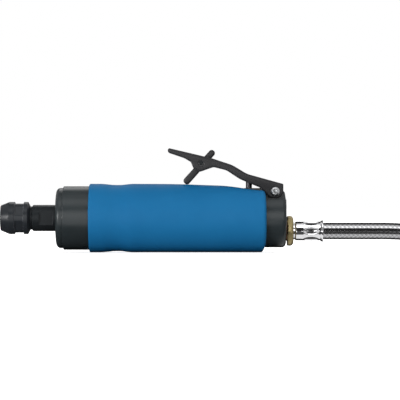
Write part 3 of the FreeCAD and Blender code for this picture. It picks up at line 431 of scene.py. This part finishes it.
def coated(name, colour, pale, roughness, grain=0.02, grain_scale=2600, wear_and_glint=None, specular=0.5, lines=0.0,
           edge=0.35, bend=0.0):
    """A painted, moulded or blackened surface: cloudy tone, uneven gloss, a fine grain and paler edges,
    partly wear and partly a painted edge highlight.

    The grain and the lines are depths in millimetres. Edges are paler within edge millimetres, partly wear
    and partly a painted edge highlight, and bend rounds the shading over a wider reach.
    """
    n = Nodes(name)
    base = n.mix(n.span(n.noise(38), 0.35, 0.68, 0.0, 0.6), linear(*colour), linear(*pale))
    mask, soft = edge_mask(n, edge)
    # Paler edges, convex and concave: partly wear, partly a painted edge highlight.
    if wear_and_glint:
        patch = n.span(n.noise(260), 0.35, 0.7)
        base = n.mix(n.math("MULTIPLY", mask, patch), base, linear(*wear_and_glint))
    gloss = n.span(n.noise(120), 0.3, 0.7, roughness * 0.92, roughness * 1.1)
    if bend:
        soft = n.add("ShaderNodeBevel", {"Radius": bend * MM}, samples=8).outputs["Normal"]
    normal = n.bump(n.noise(grain_scale, 2), grain, normal=soft)
    if lines:
        normal = n.bump(n.noise(60, stretch=COATING_LINES), lines, normal=normal)
    return n.finish(Base_Color=base, Roughness=gloss, Normal=normal, Specular_IOR_Level=specular)


def metal(name, colour, pale, roughness, line_depth=0.004, wear_and_glint=None, scale=60):
    """A machined metal, with fine tool marks that run round the part, and paler edges where given: partly
    wear, partly a painted edge highlight.
    """
    n = Nodes(name)
    marks = n.noise(scale, stretch=TOOL_MARKS)
    base = n.mix(n.span(marks, 0.3, 0.7), linear(*colour), linear(*pale))
    base = n.mix(n.span(n.noise(70, 4), 0.35, 0.75, 0.0, 0.35), base, linear(*colour))
    mask, soft = edge_mask(n, 0.2)
    # Paler edges: partly wear, partly a painted edge highlight.
    if wear_and_glint:
        base = n.mix(mask, base, linear(*wear_and_glint))
    gloss = n.span(n.noise(220), 0.3, 0.7, roughness * 0.85, roughness * 1.2)
    return n.finish(Base_Color=base, Roughness=gloss, Metallic=1.0,
                    Normal=n.bump(marks, line_depth, normal=soft))


WIRES = 5                     # in each carrier of the braid


def braid_material():
    """Wires in flat carriers that cross over and under each other, from the hose's own UV map, with painted
    shade at the carriers' edges and between the wires.
    """
    n = Nodes("steel_braid")
    uv = n.add("ShaderNodeSeparateXYZ", {"Vector": n.add("ShaderNodeTexCoord").outputs["UV"]})

    def wave(value, turns):
        return n.math("SINE", n.math("MULTIPLY", value, math.pi * turns))

    one = n.math("ADD", uv.outputs[0], uv.outputs[1])
    other = n.math("SUBTRACT", uv.outputs[0], uv.outputs[1])
    over = n.math("GREATER_THAN", n.math("MULTIPLY", wave(one, 1), wave(other, 1)), 0.0)
    wires = n.add("ShaderNodeMix", {0: over, 2: wave(one, 2 * WIRES), 3: wave(other, 2 * WIRES)}).outputs[0]
    gap = n.add("ShaderNodeMix", {0: over, 2: n.math("ABSOLUTE", wave(one, 1)),
                                  3: n.math("ABSOLUTE", wave(other, 1))}).outputs[0]
    # Painted shade: each carrier darkens towards its edges, where it passes under the next.
    shade = n.span(gap, 0.0, 0.5)
    base = n.mix(shade, linear(48, 48, 50), linear(194, 194, 196))
    # Painted shade in the grooves between the wires.
    base = n.mix(n.span(wires, -1.0, 0.4, 0.35, 0.0), base, linear(84, 84, 86))
    base = n.mix(n.span(n.noise(120), 0.4, 0.7, 0.0, 0.2), base, linear(160, 160, 162))
    height = n.math("ADD", n.math("MULTIPLY", wires, 0.3), shade)
    return n.finish(Base_Color=base, Metallic=1.0, Roughness=n.span(wires, -1, 1, 0.15, 0.1),
                    Normal=n.bump(height, 0.03, 0.5))


def speckled(name, colour, dark, scale, depth, roughness, metallic=0.0):
    """A sintered or woven stock: rounded grains with dark gaps."""
    n = Nodes(name)
    cells = n.add("ShaderNodeTexVoronoi", {"Vector": n.place(), "Scale": scale}).outputs["Distance"]
    base = n.mix(n.span(cells, 0.15, 0.6), linear(*colour), linear(*dark))
    return n.finish(Base_Color=base, Roughness=roughness, Metallic=metallic,
                    Normal=n.bump(n.math("SUBTRACT", 1.0, cells), depth))


# The edge colours below paint edges paler: partly wear, partly a painted edge highlight.
MATERIALS = {
    "black_housing": coated("black_housing", (29, 34, 36), (35, 41, 43), 0.3, wear_and_glint=(84, 88, 90), grain=0.004,
                            specular=0.24, lines=0.004),
    "blue_sleeve": coated("blue_sleeve", (11, 83, 126), (16, 89, 132), 0.6, grain=0.012, grain_scale=1900,
                          wear_and_glint=(92, 150, 184), specular=0.1, edge=0.7),
    "black_lever": coated("black_lever", (24, 24, 26), (34, 34, 36), 0.36, wear_and_glint=(150, 150, 152), grain=0.006,
                          specular=0.19, edge=0.5, bend=2.2),
    "black_steel": coated("black_steel", (26, 29, 32), (32, 35, 39), 0.3, wear_and_glint=(130, 133, 142), grain=0.003,
                          specular=0.17, lines=0.004, edge=0.45),
    "bright_steel": metal("bright_steel", (176, 178, 180), (214, 216, 218), 0.20),
    "tool_steel": metal("tool_steel", (140, 140, 142), (178, 178, 180), 0.32),
    "brass": metal("brass", (136, 122, 88), (162, 148, 108), 0.5, line_depth=0.006, wear_and_glint=(190, 180, 142)),
    "copper": metal("copper", (92, 60, 50), (120, 82, 66), 0.45),
    "bronze": speckled("bronze", (150, 122, 84), (58, 44, 28), 2400, 0.12, 0.6, 0.7),
    "composite": speckled("composite", (132, 104, 76), (84, 64, 44), 1300, 0.03, 0.6),
    "seal_rubber": coated("seal_rubber", (22, 22, 23), (34, 34, 35), 0.7, grain=0.02),
    "chrome": metal("chrome", (222, 222, 224), (234, 234, 236), 0.07, line_depth=0.001, scale=30),
    "steel_braid": braid_material(),
}
OXIDE = coated("dark_oxide", (20, 23, 25), (26, 29, 31), 0.36, wear_and_glint=(74, 76, 80), grain=0.003,
               specular=0.08, lines=0.004, edge=0.3)
ZINC = metal("zinc_plate", (178, 180, 182), (214, 216, 218), 0.4, wear_and_glint=(226, 226, 228))
DARK_STEEL = metal("dark_steel", (30, 30, 32), (50, 49, 51), 0.28)


def finish_piece(piece, slot, body, *replaced):
    """Gives a piece its material and the body it rides on, and hides the CAD nodes it stands for."""
    piece.data.materials.clear()
    piece.data.materials.append(MATERIALS[slot])
    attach(piece, body)
    if replaced:
        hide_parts(*replaced)
    return piece


for row in frame["record"]["subparts"]:
    cad_materials = nodes[row["node"]].data.materials
    cad_materials.clear()
    cad_materials.append(MATERIALS[row["material_slot"]])
nodes["spindle"].data.materials[0] = OXIDE
# The catch pin takes the dark oxide so that its end shows as a dark spot: painted shade for the hole it sits
# in.
nodes["catch_pin"].data.materials[0] = OXIDE
nodes["valve_plunger"].data.materials[0] = DARK_STEEL
hose.data.materials.append(MATERIALS["steel_braid"])


# ---- the grip sleeve ----

SLEEVE_FRONT, SLEEVE_REAR = -33.7, 69.3
SLEEVE_RADIUS = AXIS          # the tool lies on its sleeve
SLEEVE_BORE = 17.02
SLEEVE_STATIONS = 72
FRONT_ROUND, REAR_ROUND, RIM_STEPS = 0.9, 1.7, 6
WAIST_DEPTH, WAIST_START, WAIST_END = 0.7, (-27.5, -18.0), (-16.0, -8.0)
CROWN = 20.75
CROWN_FALLS = [(0.55, -6, 20), (1.0, 8, 46), (3.0, 41, 70)]
FLAT_START, FLAT_HEIGHT = 44.02, 14.32
REAR_SHIFT, REAR_SLANT_LOW, REAR_SLANT_HIGH, SLANT_START = 0.3, 1.4, 0.9, 58
NOTCH_FRONT, NOTCH_HALF, NOTCH_ROUND = 56.2, 7.2, 3.0


def sleeve_radius(x):
    """The grip has a shallow waist behind its front rim."""
    waist = WAIST_DEPTH * (ease(x, *WAIST_START) - ease(x, *WAIST_END))
    return SLEEVE_RADIUS - waist - 0.05 * ease(x, -10, 0)


def crown_height(x):
    """How high the sleeve's top may reach above the axis: it sinks towards the rear."""
    return CROWN - sum(fall * ease(x, start, end) for fall, start, end in CROWN_FALLS)


def sleeve_ring(x, inset):
    """The outer section at x, drawn in by an inset at the rims.

    The top blends from the round into the crown's flat, and the rear rim slants forward at the top and the
    bottom.
    """
    blunt = 0.22 + 0.6 * ease(x, 20, 60)
    top = crown_height(x) - inset
    radius = sleeve_radius(x) - inset
    points = []
    for k in range(SIDES):
        angle = 2 * math.pi * k / SIDES
        y, z = radius * math.cos(angle), radius * math.sin(angle)
        if z > 0:
            z = -blunt * math.log(math.exp(-z / blunt) + math.exp(-top / blunt))
        low, high = max(0.0, -math.sin(angle)), max(0.0, math.sin(angle))
        slant = REAR_SHIFT - REAR_SLANT_LOW * low ** 6 - REAR_SLANT_HIGH * high ** 3
        points.append((x + slant * ease(x, SLANT_START, SLEEVE_REAR), y, AXIS + z))
    return points


def bore_ring(x, flat):
    """The sleeve's inside at x, with the flat over the rear housing where it has one."""
    points = []
    for k in range(SIDES):
        angle = 2 * math.pi * k / SIDES
        y, z = SLEEVE_BORE * math.cos(angle), SLEEVE_BORE * math.sin(angle)
        points.append((x, y, AXIS + (min(z, FLAT_HEIGHT) if flat else z)))
    return points


def rim(x_end, direction, radius):
    """(x, inset) pairs round a rim's outer edge, from the outside to the face."""
    angles = [math.pi / 2 * k / RIM_STEPS for k in range(RIM_STEPS + 1)]
    return [(x_end - direction * radius * (1 - math.sin(angle)), radius * (1 - math.cos(angle)))
            for angle in angles]


def sleeve_rings():
    rings = [sleeve_ring(x, inset) for x, inset in reversed(rim(SLEEVE_FRONT, -1, FRONT_ROUND))]
    start = SLEEVE_FRONT + FRONT_ROUND
    length = SLEEVE_REAR - REAR_ROUND - SLEEVE_FRONT - FRONT_ROUND
    for k in range(1, SLEEVE_STATIONS):
        rings.append(sleeve_ring(start + length * k / SLEEVE_STATIONS, 0.0))
    rings += [sleeve_ring(x, inset) for x, inset in rim(SLEEVE_REAR, 1, REAR_ROUND)]
    rings += [bore_ring(SLEEVE_REAR - 0.9, True), bore_ring(FLAT_START, True),
              bore_ring(FLAT_START, False), bore_ring(SLEEVE_FRONT + 0.02, False)]
    return rings


def notch_cutter():
    """A slot in plan, open at the rear, for the lever's hinge ear and the plunger."""
    plan = [(NOTCH_FRONT, -NOTCH_HALF, NOTCH_ROUND), (80.0, -NOTCH_HALF), (80.0, NOTCH_HALF),
            (NOTCH_FRONT, NOTCH_HALF, NOTCH_ROUND)]
    cutter = prism("notch", plan, 13.0, 30.0)
    cutter.data.transform(Matrix(((1, 0, 0, 0), (0, 0, 1, 0), (0, 1, 0, AXIS * MM), (0, 0, 0, 1))))
    return cutter


sleeve = skin("grip_sleeve_moulding", sleeve_rings(), loop=True)
notch = notch_cutter()
face_outward(notch)
carve(sleeve, notch)
smooth(sleeve, math.radians(38))
finish_piece(sleeve, "blue_sleeve", "housing", "grip_sleeve")


# ---- the clamping nut ----

NUT_FRONT, CONE_END, NUT_REAR = -85.76, -80.6, -68.3
FLATS_FRONT, FLATS_REAR, FLANGE_END = -77.4, -72.1, -69.65
NUT_RADIUS, NUT_WAIST, NUT_THREAD = 9.45, 9.0, 6.56
NUT_FLATS = (6, 8.5, math.radians(30))


def nut_rings():
    """A cone, a hexagonal waist and a rear flange, round a taper, a relief and the thread's bore."""
    front = rounded([(-85.3, 5.4), (NUT_FRONT, 5.6), (NUT_FRONT, 7.35, 0.7), (CONE_END, NUT_RADIUS, 1.6),
                     (FLATS_FRONT, NUT_RADIUS, 0.25), (FLATS_FRONT, NUT_WAIST)])
    rear = rounded([(FLATS_REAR, NUT_WAIST), (FLATS_REAR, NUT_RADIUS, 0.25), (FLANGE_END, NUT_RADIUS, 0.5),
                    (NUT_REAR, 6.85, 0.3), (NUT_REAR, NUT_THREAD)])
    rings = [ring(p.x, p.y) for p in front]
    rings += [ring(x, NUT_WAIST, NUT_FLATS) for x in (FLATS_FRONT + 0.02, -74.8, FLATS_REAR - 0.02)]
    rings += [ring(p.x, p.y) for p in rear]
    rings += [ring(-82.4, NUT_THREAD), ring(-82.4, 5.9), ring(-83.3, 5.9), ring(-85.3, 4.8)]
    return rings


nut = skin("collet_nut_body", nut_rings(), at(z=AXIS), loop=True)
finish_piece(nut, "black_steel", "nut", "collet_nut")


# ---- the brass inlet hexagon ----

INLET_HEIGHT = 12.6
HEXAGON_FRONT, HEXAGON_REAR = 82.12, 85.74
HEXAGON_CORNER, HEXAGON_CORE = 8.95, 4.6
HEXAGON_FLATS = (6, 8.5, math.radians(22))
DOME_FRONT, DOME_REAR = 0.5, 1.5
DOME_STEPS = 14
THREAD_START, THREAD_END, THREAD_RADIUS, THREAD_BORE = 70.3, 82.2, 4.5, 3.3


def domed_hexagon(name, place):
    """A hexagon whose corners are turned off into a dome on both faces."""
    rings = [ring(HEXAGON_FRONT, HEXAGON_CORE)]
    for k in range(DOME_STEPS + 1):
        share = k / DOME_STEPS
        x = HEXAGON_FRONT + (HEXAGON_REAR - HEXAGON_FRONT) * share
        front = DOME_FRONT * (1 - ease(share, 0, 0.22)) ** 2
        back = DOME_REAR * max(0.0, (share - 0.45) / 0.55) ** 2.2
        rings.append(ring(x, HEXAGON_CORNER - front - back, HEXAGON_FLATS))
    rings.append(ring(HEXAGON_REAR, HEXAGON_CORE))
    return skin(name, rings, place)


inlet = domed_hexagon("inlet_hexagon", at(z=INLET_HEIGHT))
thread = turned("inlet_thread", [(THREAD_START, THREAD_BORE), (THREAD_START, THREAD_RADIUS, 0.3),
                                 (THREAD_END, THREAD_RADIUS), (THREAD_END, THREAD_BORE)],
                at(z=INLET_HEIGHT), sides=72)
carve(inlet, thread, operation="UNION")
finish_piece(inlet, "brass", "housing", "inlet_bush")
smooth(inlet, math.radians(28))


# ---- the crimped ferrules ----

FERRULE_RADIUS = 5.55
FERRULE_WALL = 1.0
FERRULE_SIDES = 240
FERRULE_STEPS = 64
CRIMPS = 6
CRIMP_SHARE = 0.76        # of the way round that the crimps take
BEAD_HEIGHT, BEAD_PLACE, BEAD_WIDTH = 0.08, 1.08, 0.14


def crimped(name, length, lip, dimples, depth, place, front_round):
    """A pressed ferrule with long oval crimps round it and, where lip is given, a flared rear lip.

    Dimples are the crimps' start and end along it, and a fine bead runs round each crimp.
    """
    start, end = dimples
    middle, half = (start + end) / 2, (end - start) / 2
    width = CRIMP_SHARE * math.pi * FERRULE_RADIUS / CRIMPS
    straight = length - front_round - (1.5 if lip else 0.5)
    stations = [0.0, 0.1, 0.3, 0.6, 1.0, front_round]
    stations += [front_round + straight * k / FERRULE_STEPS for k in range(1, FERRULE_STEPS + 1)]
    stations += [length - 0.9, length - 0.45, length] if lip else [length]
    rings = []
    for x in stations:
        corner = max(0.0, front_round - x)
        base = FERRULE_RADIUS - front_round + math.sqrt(max(0.0, front_round ** 2 - corner ** 2))
        if lip:
            base += (lip - FERRULE_RADIUS) * ease(x, length - 1.6, length - 0.5)

        def reach(angle, x=x, base=base):
            sector = 2 * math.pi / CRIMPS
            arc = ((angle + sector / 2) % sector - sector / 2) * FERRULE_RADIUS
            oval = math.hypot((x - middle) / half, arc / width)
            bowl = depth * max(0.0, 1 - oval ** 4)
            bead = BEAD_HEIGHT * math.exp(-((oval - BEAD_PLACE) / BEAD_WIDTH) ** 2)
            return base - bowl + bead

        rings.append(ring(x, reach, sides=FERRULE_SIDES))
    inner = FERRULE_RADIUS - FERRULE_WALL
    bore = inner - 0.05
    for x, radius in ((length, inner), (length - 1.0, bore), (0.9, bore), (0.0, inner - 0.9)):
        rings.append(ring(x, radius, sides=FERRULE_SIDES))
    return skin(name, rings, place, loop=True)


ferrule = crimped("hose_ferrule_crimped", 16.5, 6.3, (5.0, 14.0), 0.85, at(x=86.6, z=HOSE_HEIGHT), 1.1)
finish_piece(ferrule, "chrome", "housing", "hose_ferrule")


# ---- the hose's free end ----

END = at(x=COIL_CENTRE[0], y=2 * COIL_RADIUS, z=END_HEIGHT, turn=180)
PIPE_START, PIPE_END, PIPE_STEP = 20.7, 31.0, 0.12
PIPE_RADIUS, PIPE_PITCH, PIPE_DEPTH = 6.58, 1.337, 0.62
END_FLATS = (6, 7.0, 0)
TAIL_START, TAIL_BORE = 10.5, 2.62


def pipe_thread(angle, x):
    """A V thread's reach at a place along and round it, fading out at both ends."""
    share = (x / PIPE_PITCH - angle / (2 * math.pi)) % 1
    fade = ease(x, 20.6, 21.8) * (1 - ease(x, 29.8, 30.9))
    return PIPE_RADIUS - 0.5 * (1 - fade) - PIPE_DEPTH * fade * abs(2 * share - 1)


def nipple_rings():
    """A tail in the hose, a hexagon, a neck and a pipe thread, round a bore."""
    rings = [ring(x, radius) for x, radius in ((TAIL_START, 4.7), (12.6, 4.75))]
    rings += [ring(x, radius, END_FLATS)
              for x, radius in ((13.9, 4.8), (14.0, 7.1), (14.5, 7.7), (19.4, 7.7), (19.9, 7.1))]
    rings += [ring(20.0, 5.4), ring(20.6, 5.4)]
    for k in range(round((PIPE_END - PIPE_START) / PIPE_STEP)):
        x = PIPE_START + PIPE_STEP * k
        rings.append(ring(x, lambda angle, x=x: pipe_thread(angle, x)))
    rings += [ring(PIPE_END, 5.7), ring(PIPE_END, 3.0), ring(30.7, TAIL_BORE), ring(TAIL_START, TAIL_BORE)]
    return rings


fitting = skin("hose_end_nipple", nipple_rings(), END, loop=True)
smooth(fitting, math.radians(45))
finish_piece(fitting, "brass", "housing")
end_ferrule = crimped("hose_end_ferrule", 14.0, 0.0, (4.2, 11.2), 0.45, END, 0.8)
finish_piece(end_ferrule, "chrome", "housing", "hose_end_fitting")


# ---- the lever ----

PIVOT = (75.1, 35.68)
LEVER = [
    (-62.8, 25.5, 1.2), (-37.0, 19.4, 9.0), (-25.0, 15.4, 16.0), (-16.6, 10.3, 16.0), (4.7, 4.4, 0.6),
    (4.7, -3.9, 3.6), (-3.6, -3.9, 2.5), (-8.9, 2.4, 2.0), (-20.5, 7.3, 14.0), (-28.4, 12.5, 8.0),
    (-36.0, 14.4, 3.0), (-44.0, 11.6, 1.5), (-48.0, 13.8, 1.2), (-49.4, 17.4, 1.5), (-53.4, 19.7, 6.0),
    (-62.8, 22.9, 1.2),
]
CHANNEL = [
    (-56.5, 22.6), (-37.0, 17.7), (-25.4, 13.7, 12.0), (-17.0, 8.6, 12.0), (6.7, 2.2), (6.7, -6.0),
    (-56.5, -6.0),
]
LEVER_HALF, CHANNEL_HALF, SLOT_HALF, PAST_LEVER = 6.0, 4.2, 3.1, 8.0
SLOT_FRONT, SLOT_REAR = -47.9, -31.6      # from the pivot
CATCH = (31.8, 52.2)


def from_pivot(outline):
    return [(PIVOT[0] + p[0], PIVOT[1] + p[1], *p[2:]) for p in outline]


lever = prism("throttle_lever_pressing", from_pivot(LEVER), -LEVER_HALF, LEVER_HALF)
carve(lever, prism("channel", from_pivot(CHANNEL), -CHANNEL_HALF, CHANNEL_HALF),
      block("slot", PIVOT[0] + SLOT_FRONT, PIVOT[0] + SLOT_REAR, -SLOT_HALF, SLOT_HALF,
            PIVOT[1] + 11.0, PIVOT[1] + 30.0),
      pin("pivot_hole", *PIVOT, 2.08, PAST_LEVER), pin("catch_hole", *CATCH, 1.3, PAST_LEVER))
soften(lever, 0.45)
finish_piece(lever, "black_lever", "lever", "throttle_lever")


# ---- the safety catch ----

CATCH_ANGLE = 48.5
CATCH_HALF = 2.68
HUB_RADIUS, CATCH_BORE = 2.5, 1.32
CATCH_OUTLINE = [(-15.2, -2.6, 1.95), (10.4, -2.53, 1.75), (10.4, 1.17, 1.75), (-15.2, 1.5, 1.95)]

bar = prism("safety_catch_bar", CATCH_OUTLINE, -CATCH_HALF, CATCH_HALF, steps=8)
carve(bar, pin("hub", 0, 0, HUB_RADIUS, CATCH_HALF, sides=48), operation="UNION")
carve(bar, pin("catch_bore", 0, 0, CATCH_BORE, PAST_LEVER))
soften(bar, 0.4)
bar.data.transform(Matrix.Translation((CATCH[0] * MM, 0, CATCH[1] * MM))
                   @ Matrix.Rotation(-math.radians(CATCH_ANGLE), 4, "Y"))
finish_piece(bar, "black_lever", "catch", "safety_catch")


# ---- the pivot screw ----

SCREW_HEAD = -6.05
SCREW_SIDES = 96
SHANK_END, SHANK_RADIUS, HEAD_HEIGHT = -14.2, 1.98, 1.42
SOCKET_RADIUS, SOCKET_FLATS = 1.5, (6, 1.25, 0)
SCREW_PROFILE = [
    (SHANK_END, 1.0), (SHANK_END, SHANK_RADIUS), (0.0, SHANK_RADIUS), (0.0, 2.45), (0.08, 2.66), (0.25, 2.7),
    (0.55, 2.66), (0.9, 2.42), (1.2, 2.02), (1.38, 1.62), (HEAD_HEIGHT, SOCKET_RADIUS),
]

screw_rings = [ring(x, radius, sides=SCREW_SIDES) for x, radius in SCREW_PROFILE]
screw_rings += [ring(x, SOCKET_RADIUS, SOCKET_FLATS, SCREW_SIDES) for x in (HEAD_HEIGHT, 0.55)]
screw_rings.append(ring(0.35, 0.5, sides=SCREW_SIDES))
screw = skin("pivot_screw_domed", screw_rings, at(x=PIVOT[0], y=SCREW_HEAD, z=PIVOT[1], turn=-90))
finish_piece(screw, "bright_steel", "lever", "lever_pivot_screw")
screw.data.materials[0] = ZINC


# ---- the valve spring ----

VALVE_X, SPRING_LOW, SPRING_HIGH = 59.8, 6.3, 12.2
SPRING_RADIUS, SPRING_WIRE, SPRING_TURNS = 3.2, 0.3, 3.75
SPRING_STEPS, WIRE_SIDES = 180, 10


def spring_rings():
    """Sections of the wire along its helix, from the plug up to the poppet."""
    climb = SPRING_HIGH - SPRING_LOW - 2 * SPRING_WIRE
    rings = []
    for k in range(SPRING_STEPS + 1):
        share = k / SPRING_STEPS
        angle = 2 * math.pi * SPRING_TURNS * share
        rings.append([])
        for tilt in (2 * math.pi * side / WIRE_SIDES for side in range(WIRE_SIDES)):
            reach = SPRING_RADIUS + SPRING_WIRE * math.cos(tilt)
            rise = SPRING_LOW + SPRING_WIRE + climb * share + SPRING_WIRE * math.sin(tilt)
            rings[-1].append((VALVE_X + reach * math.cos(angle), reach * math.sin(angle), rise))
    return rings


spring = skin("valve_spring_wire", spring_rings())
spring.data.materials.append(MATERIALS["bright_steel"])
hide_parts("valve_spring")
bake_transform(spring)


# ---- the floor, the light and the surroundings ----

FLOOR_HALF = 6000
FLOOR_DROP = 0.04             # keeps the floor just clear of the sleeve and the hose
# Marks that only reflections see: painted shade near the tool, and painted glints under the hose and before
# the tool.
GLINT_SPLIT = (0.076, 0.080)    # metres along X: the painted glint under the hose starts here, and the painted glint before the tool ends
HOSE_GLINT_NEAR, HOSE_GLINT_FAR = (-0.0165, -0.0150), (0.0, -0.002)
HOSE_GLINT_GLOW = 0.9
TOOL_GLINT_EDGE = (-0.050, -0.056)
TOOL_GLINT_GLOW = 2.1
PAINTED_REFLECTION_END = (0.175, 0.155)
REFLECTED_SHADE_TONE, FLOOR_TONE = 0.1, 0.82
FLOOR_GLOW = 0.75


def grey(value):
    return value, value, value, 1


def floor_material():
    """White paper, lit to the edges.

    Reflections see painted shade instead, a dark floor near the tool, with a painted glint strip under the
    hose and another before the tool.
    """
    n = Nodes("floor")
    seen = n.add("ShaderNodeLightPath").outputs["Is Camera Ray"]
    mirrored = n.add("ShaderNodeLightPath").outputs["Is Glossy Ray"]
    spot = n.add("ShaderNodeSeparateXYZ", {"Vector": n.place()})
    x, y = spot.outputs[0], spot.outputs[1]
    # Painted glints: glowing strips under the hose and before the tool, seen only in reflections.
    hose_glint = n.math("MULTIPLY", n.span(x, *GLINT_SPLIT), n.math("MULTIPLY", n.span(y, *HOSE_GLINT_NEAR),
                                                             n.span(y, *HOSE_GLINT_FAR)))
    tool_glint = n.math("MULTIPLY", n.span(x, *reversed(GLINT_SPLIT)), n.span(y, *TOOL_GLINT_EDGE))
    # Painted shade: near the tool, reflections see the floor dark.
    painted_reflection_zone = n.math("MULTIPLY", mirrored, n.span(x, *PAINTED_REFLECTION_END))
    paper = n.mix(n.span(n.noise(900, 2), 0.3, 0.7, 0.0, 0.02), grey(0.93), grey(0.9))
    bounce = n.mix(painted_reflection_zone, grey(FLOOR_TONE), grey(REFLECTED_SHADE_TONE))
    matt = n.add("ShaderNodeBsdfDiffuse", {"Color": n.mix(seen, bounce, paper)})
    glints = n.math("ADD", n.math("MULTIPLY", hose_glint, HOSE_GLINT_GLOW), n.math("MULTIPLY", tool_glint, TOOL_GLINT_GLOW))
    strength = n.math("ADD", n.math("MULTIPLY", seen, FLOOR_GLOW), n.math("MULTIPLY", painted_reflection_zone, glints))
    glow = n.add("ShaderNodeEmission", {"Color": grey(1), "Strength": strength})
    both = n.add("ShaderNodeAddShader", {0: matt.outputs[0], 1: glow.outputs[0]})
    n.tree.links.new(both.outputs[0], n.output.inputs["Surface"])
    return n.material


floor_corners = [(x * FLOOR_HALF, y * FLOOR_HALF, 0) for x, y in ((-1, -1), (1, -1), (1, 1), (-1, 1))]
floor = mesh_piece("floor", floor_corners, [(0, 1, 2, 3)])
floor.location.z = -FLOOR_DROP * MM
floor.data.materials.append(floor_material())


class WorldNodes(Nodes):
    """The same short way to write the surroundings' nodes."""

    def __init__(self, name):
        world = bpy.data.worlds.new(name)
        world.use_nodes = True
        scene.world = world
        self.tree = world.node_tree
        self.tree.nodes.clear()
        self.output = self.add("ShaderNodeOutputWorld")

    def ramp(self, value, *stops):
        """A grey that changes with a value, through (value, grey) stops."""
        made = self.add("ShaderNodeValToRGB", {"Fac": value})
        elements = made.color_ramp.elements
        while len(elements) > 1:
            elements.remove(elements[-1])
        for i, (place, tone) in enumerate(stops):
            stop = elements[0] if i == 0 else elements.new(place)
            stop.position = place
            stop.color = grey(tone)
        return made.outputs["Color"]


def surround():
    """A dark studio with a pale ceiling and pale side walls. The cameras see plain white instead."""
    n = WorldNodes("studio")
    direction = n.add("ShaderNodeSeparateXYZ", {"Vector": n.add("ShaderNodeTexCoord").outputs["Generated"]})
    x, y, z = direction.outputs
    front = n.ramp(z, (0.0, 0.02), (0.68, 0.03), (0.80, 0.8), (1.0, 0.9))
    back = n.ramp(z, (0.0, 0.03), (0.95, 0.04), (0.99, 0.6), (1.0, 1.0))
    walls = n.ramp(z, (0.0, 0.55), (0.5, 0.62), (1.0, 1.0))
    middle = n.mix(n.span(y, -0.15, 0.15), front, back)
    studio = n.mix(n.span(n.math("ABSOLUTE", x), 0.28, 0.6), middle, walls)
    around = n.add("ShaderNodeBackground", {"Color": studio, "Strength": 1.15})
    plain = n.add("ShaderNodeBackground", {"Color": grey(1), "Strength": 1.0})
    seen = n.add("ShaderNodeLightPath").outputs["Is Camera Ray"]
    chosen = n.add("ShaderNodeMixShader", {0: seen, 1: around.outputs[0], 2: plain.outputs[0]})
    n.tree.links.new(chosen.outputs[0], n.output.inputs["Surface"])


def softbox(name, place, target, size, power, *spared):
    """A soft light that the cameras don't see, and that doesn't reach the spared pieces."""
    lamp = bpy.data.lights.new(name, "AREA")
    lamp.shape, lamp.size, lamp.size_y, lamp.energy = "RECTANGLE", size[0], size[1], power
    thing = bpy.data.objects.new(name, lamp)
    scene.collection.objects.link(thing)
    thing.location = place
    thing.rotation_euler = (Vector(target) - Vector(place)).to_track_quat("-Z", "Y").to_euler()
    thing.visible_camera = False
    if spared:
        flags = bpy.data.collections.new(name + "_flags")
        for piece in spared:
            flags.objects.link(piece)
        for entry in flags.collection_objects:
            entry.light_linking.link_state = "EXCLUDE"
        thing.light_linking.receiver_collection = flags


surround()
bright = (hose, ferrule, end_ferrule, fitting, screw)
softbox("key", (-0.1, -0.9, 1.4), (0.05, 0, 0.02), (1.6, 0.8), 6)
softbox("fill", (0.3, 1.2, 1.2), (0.05, 0, 0.02), (1.6, 0.9), 9, *bright)
softbox("front", (0.03, -1.5, 0.36), (0.03, 0, 0.02), (3.0, 0.7), 20, *bright, floor)
softbox("side", (-0.95, -0.9, 0.18), (-0.08, 0, 0.02), (0.4, 0.34), 12, *bright, floor)
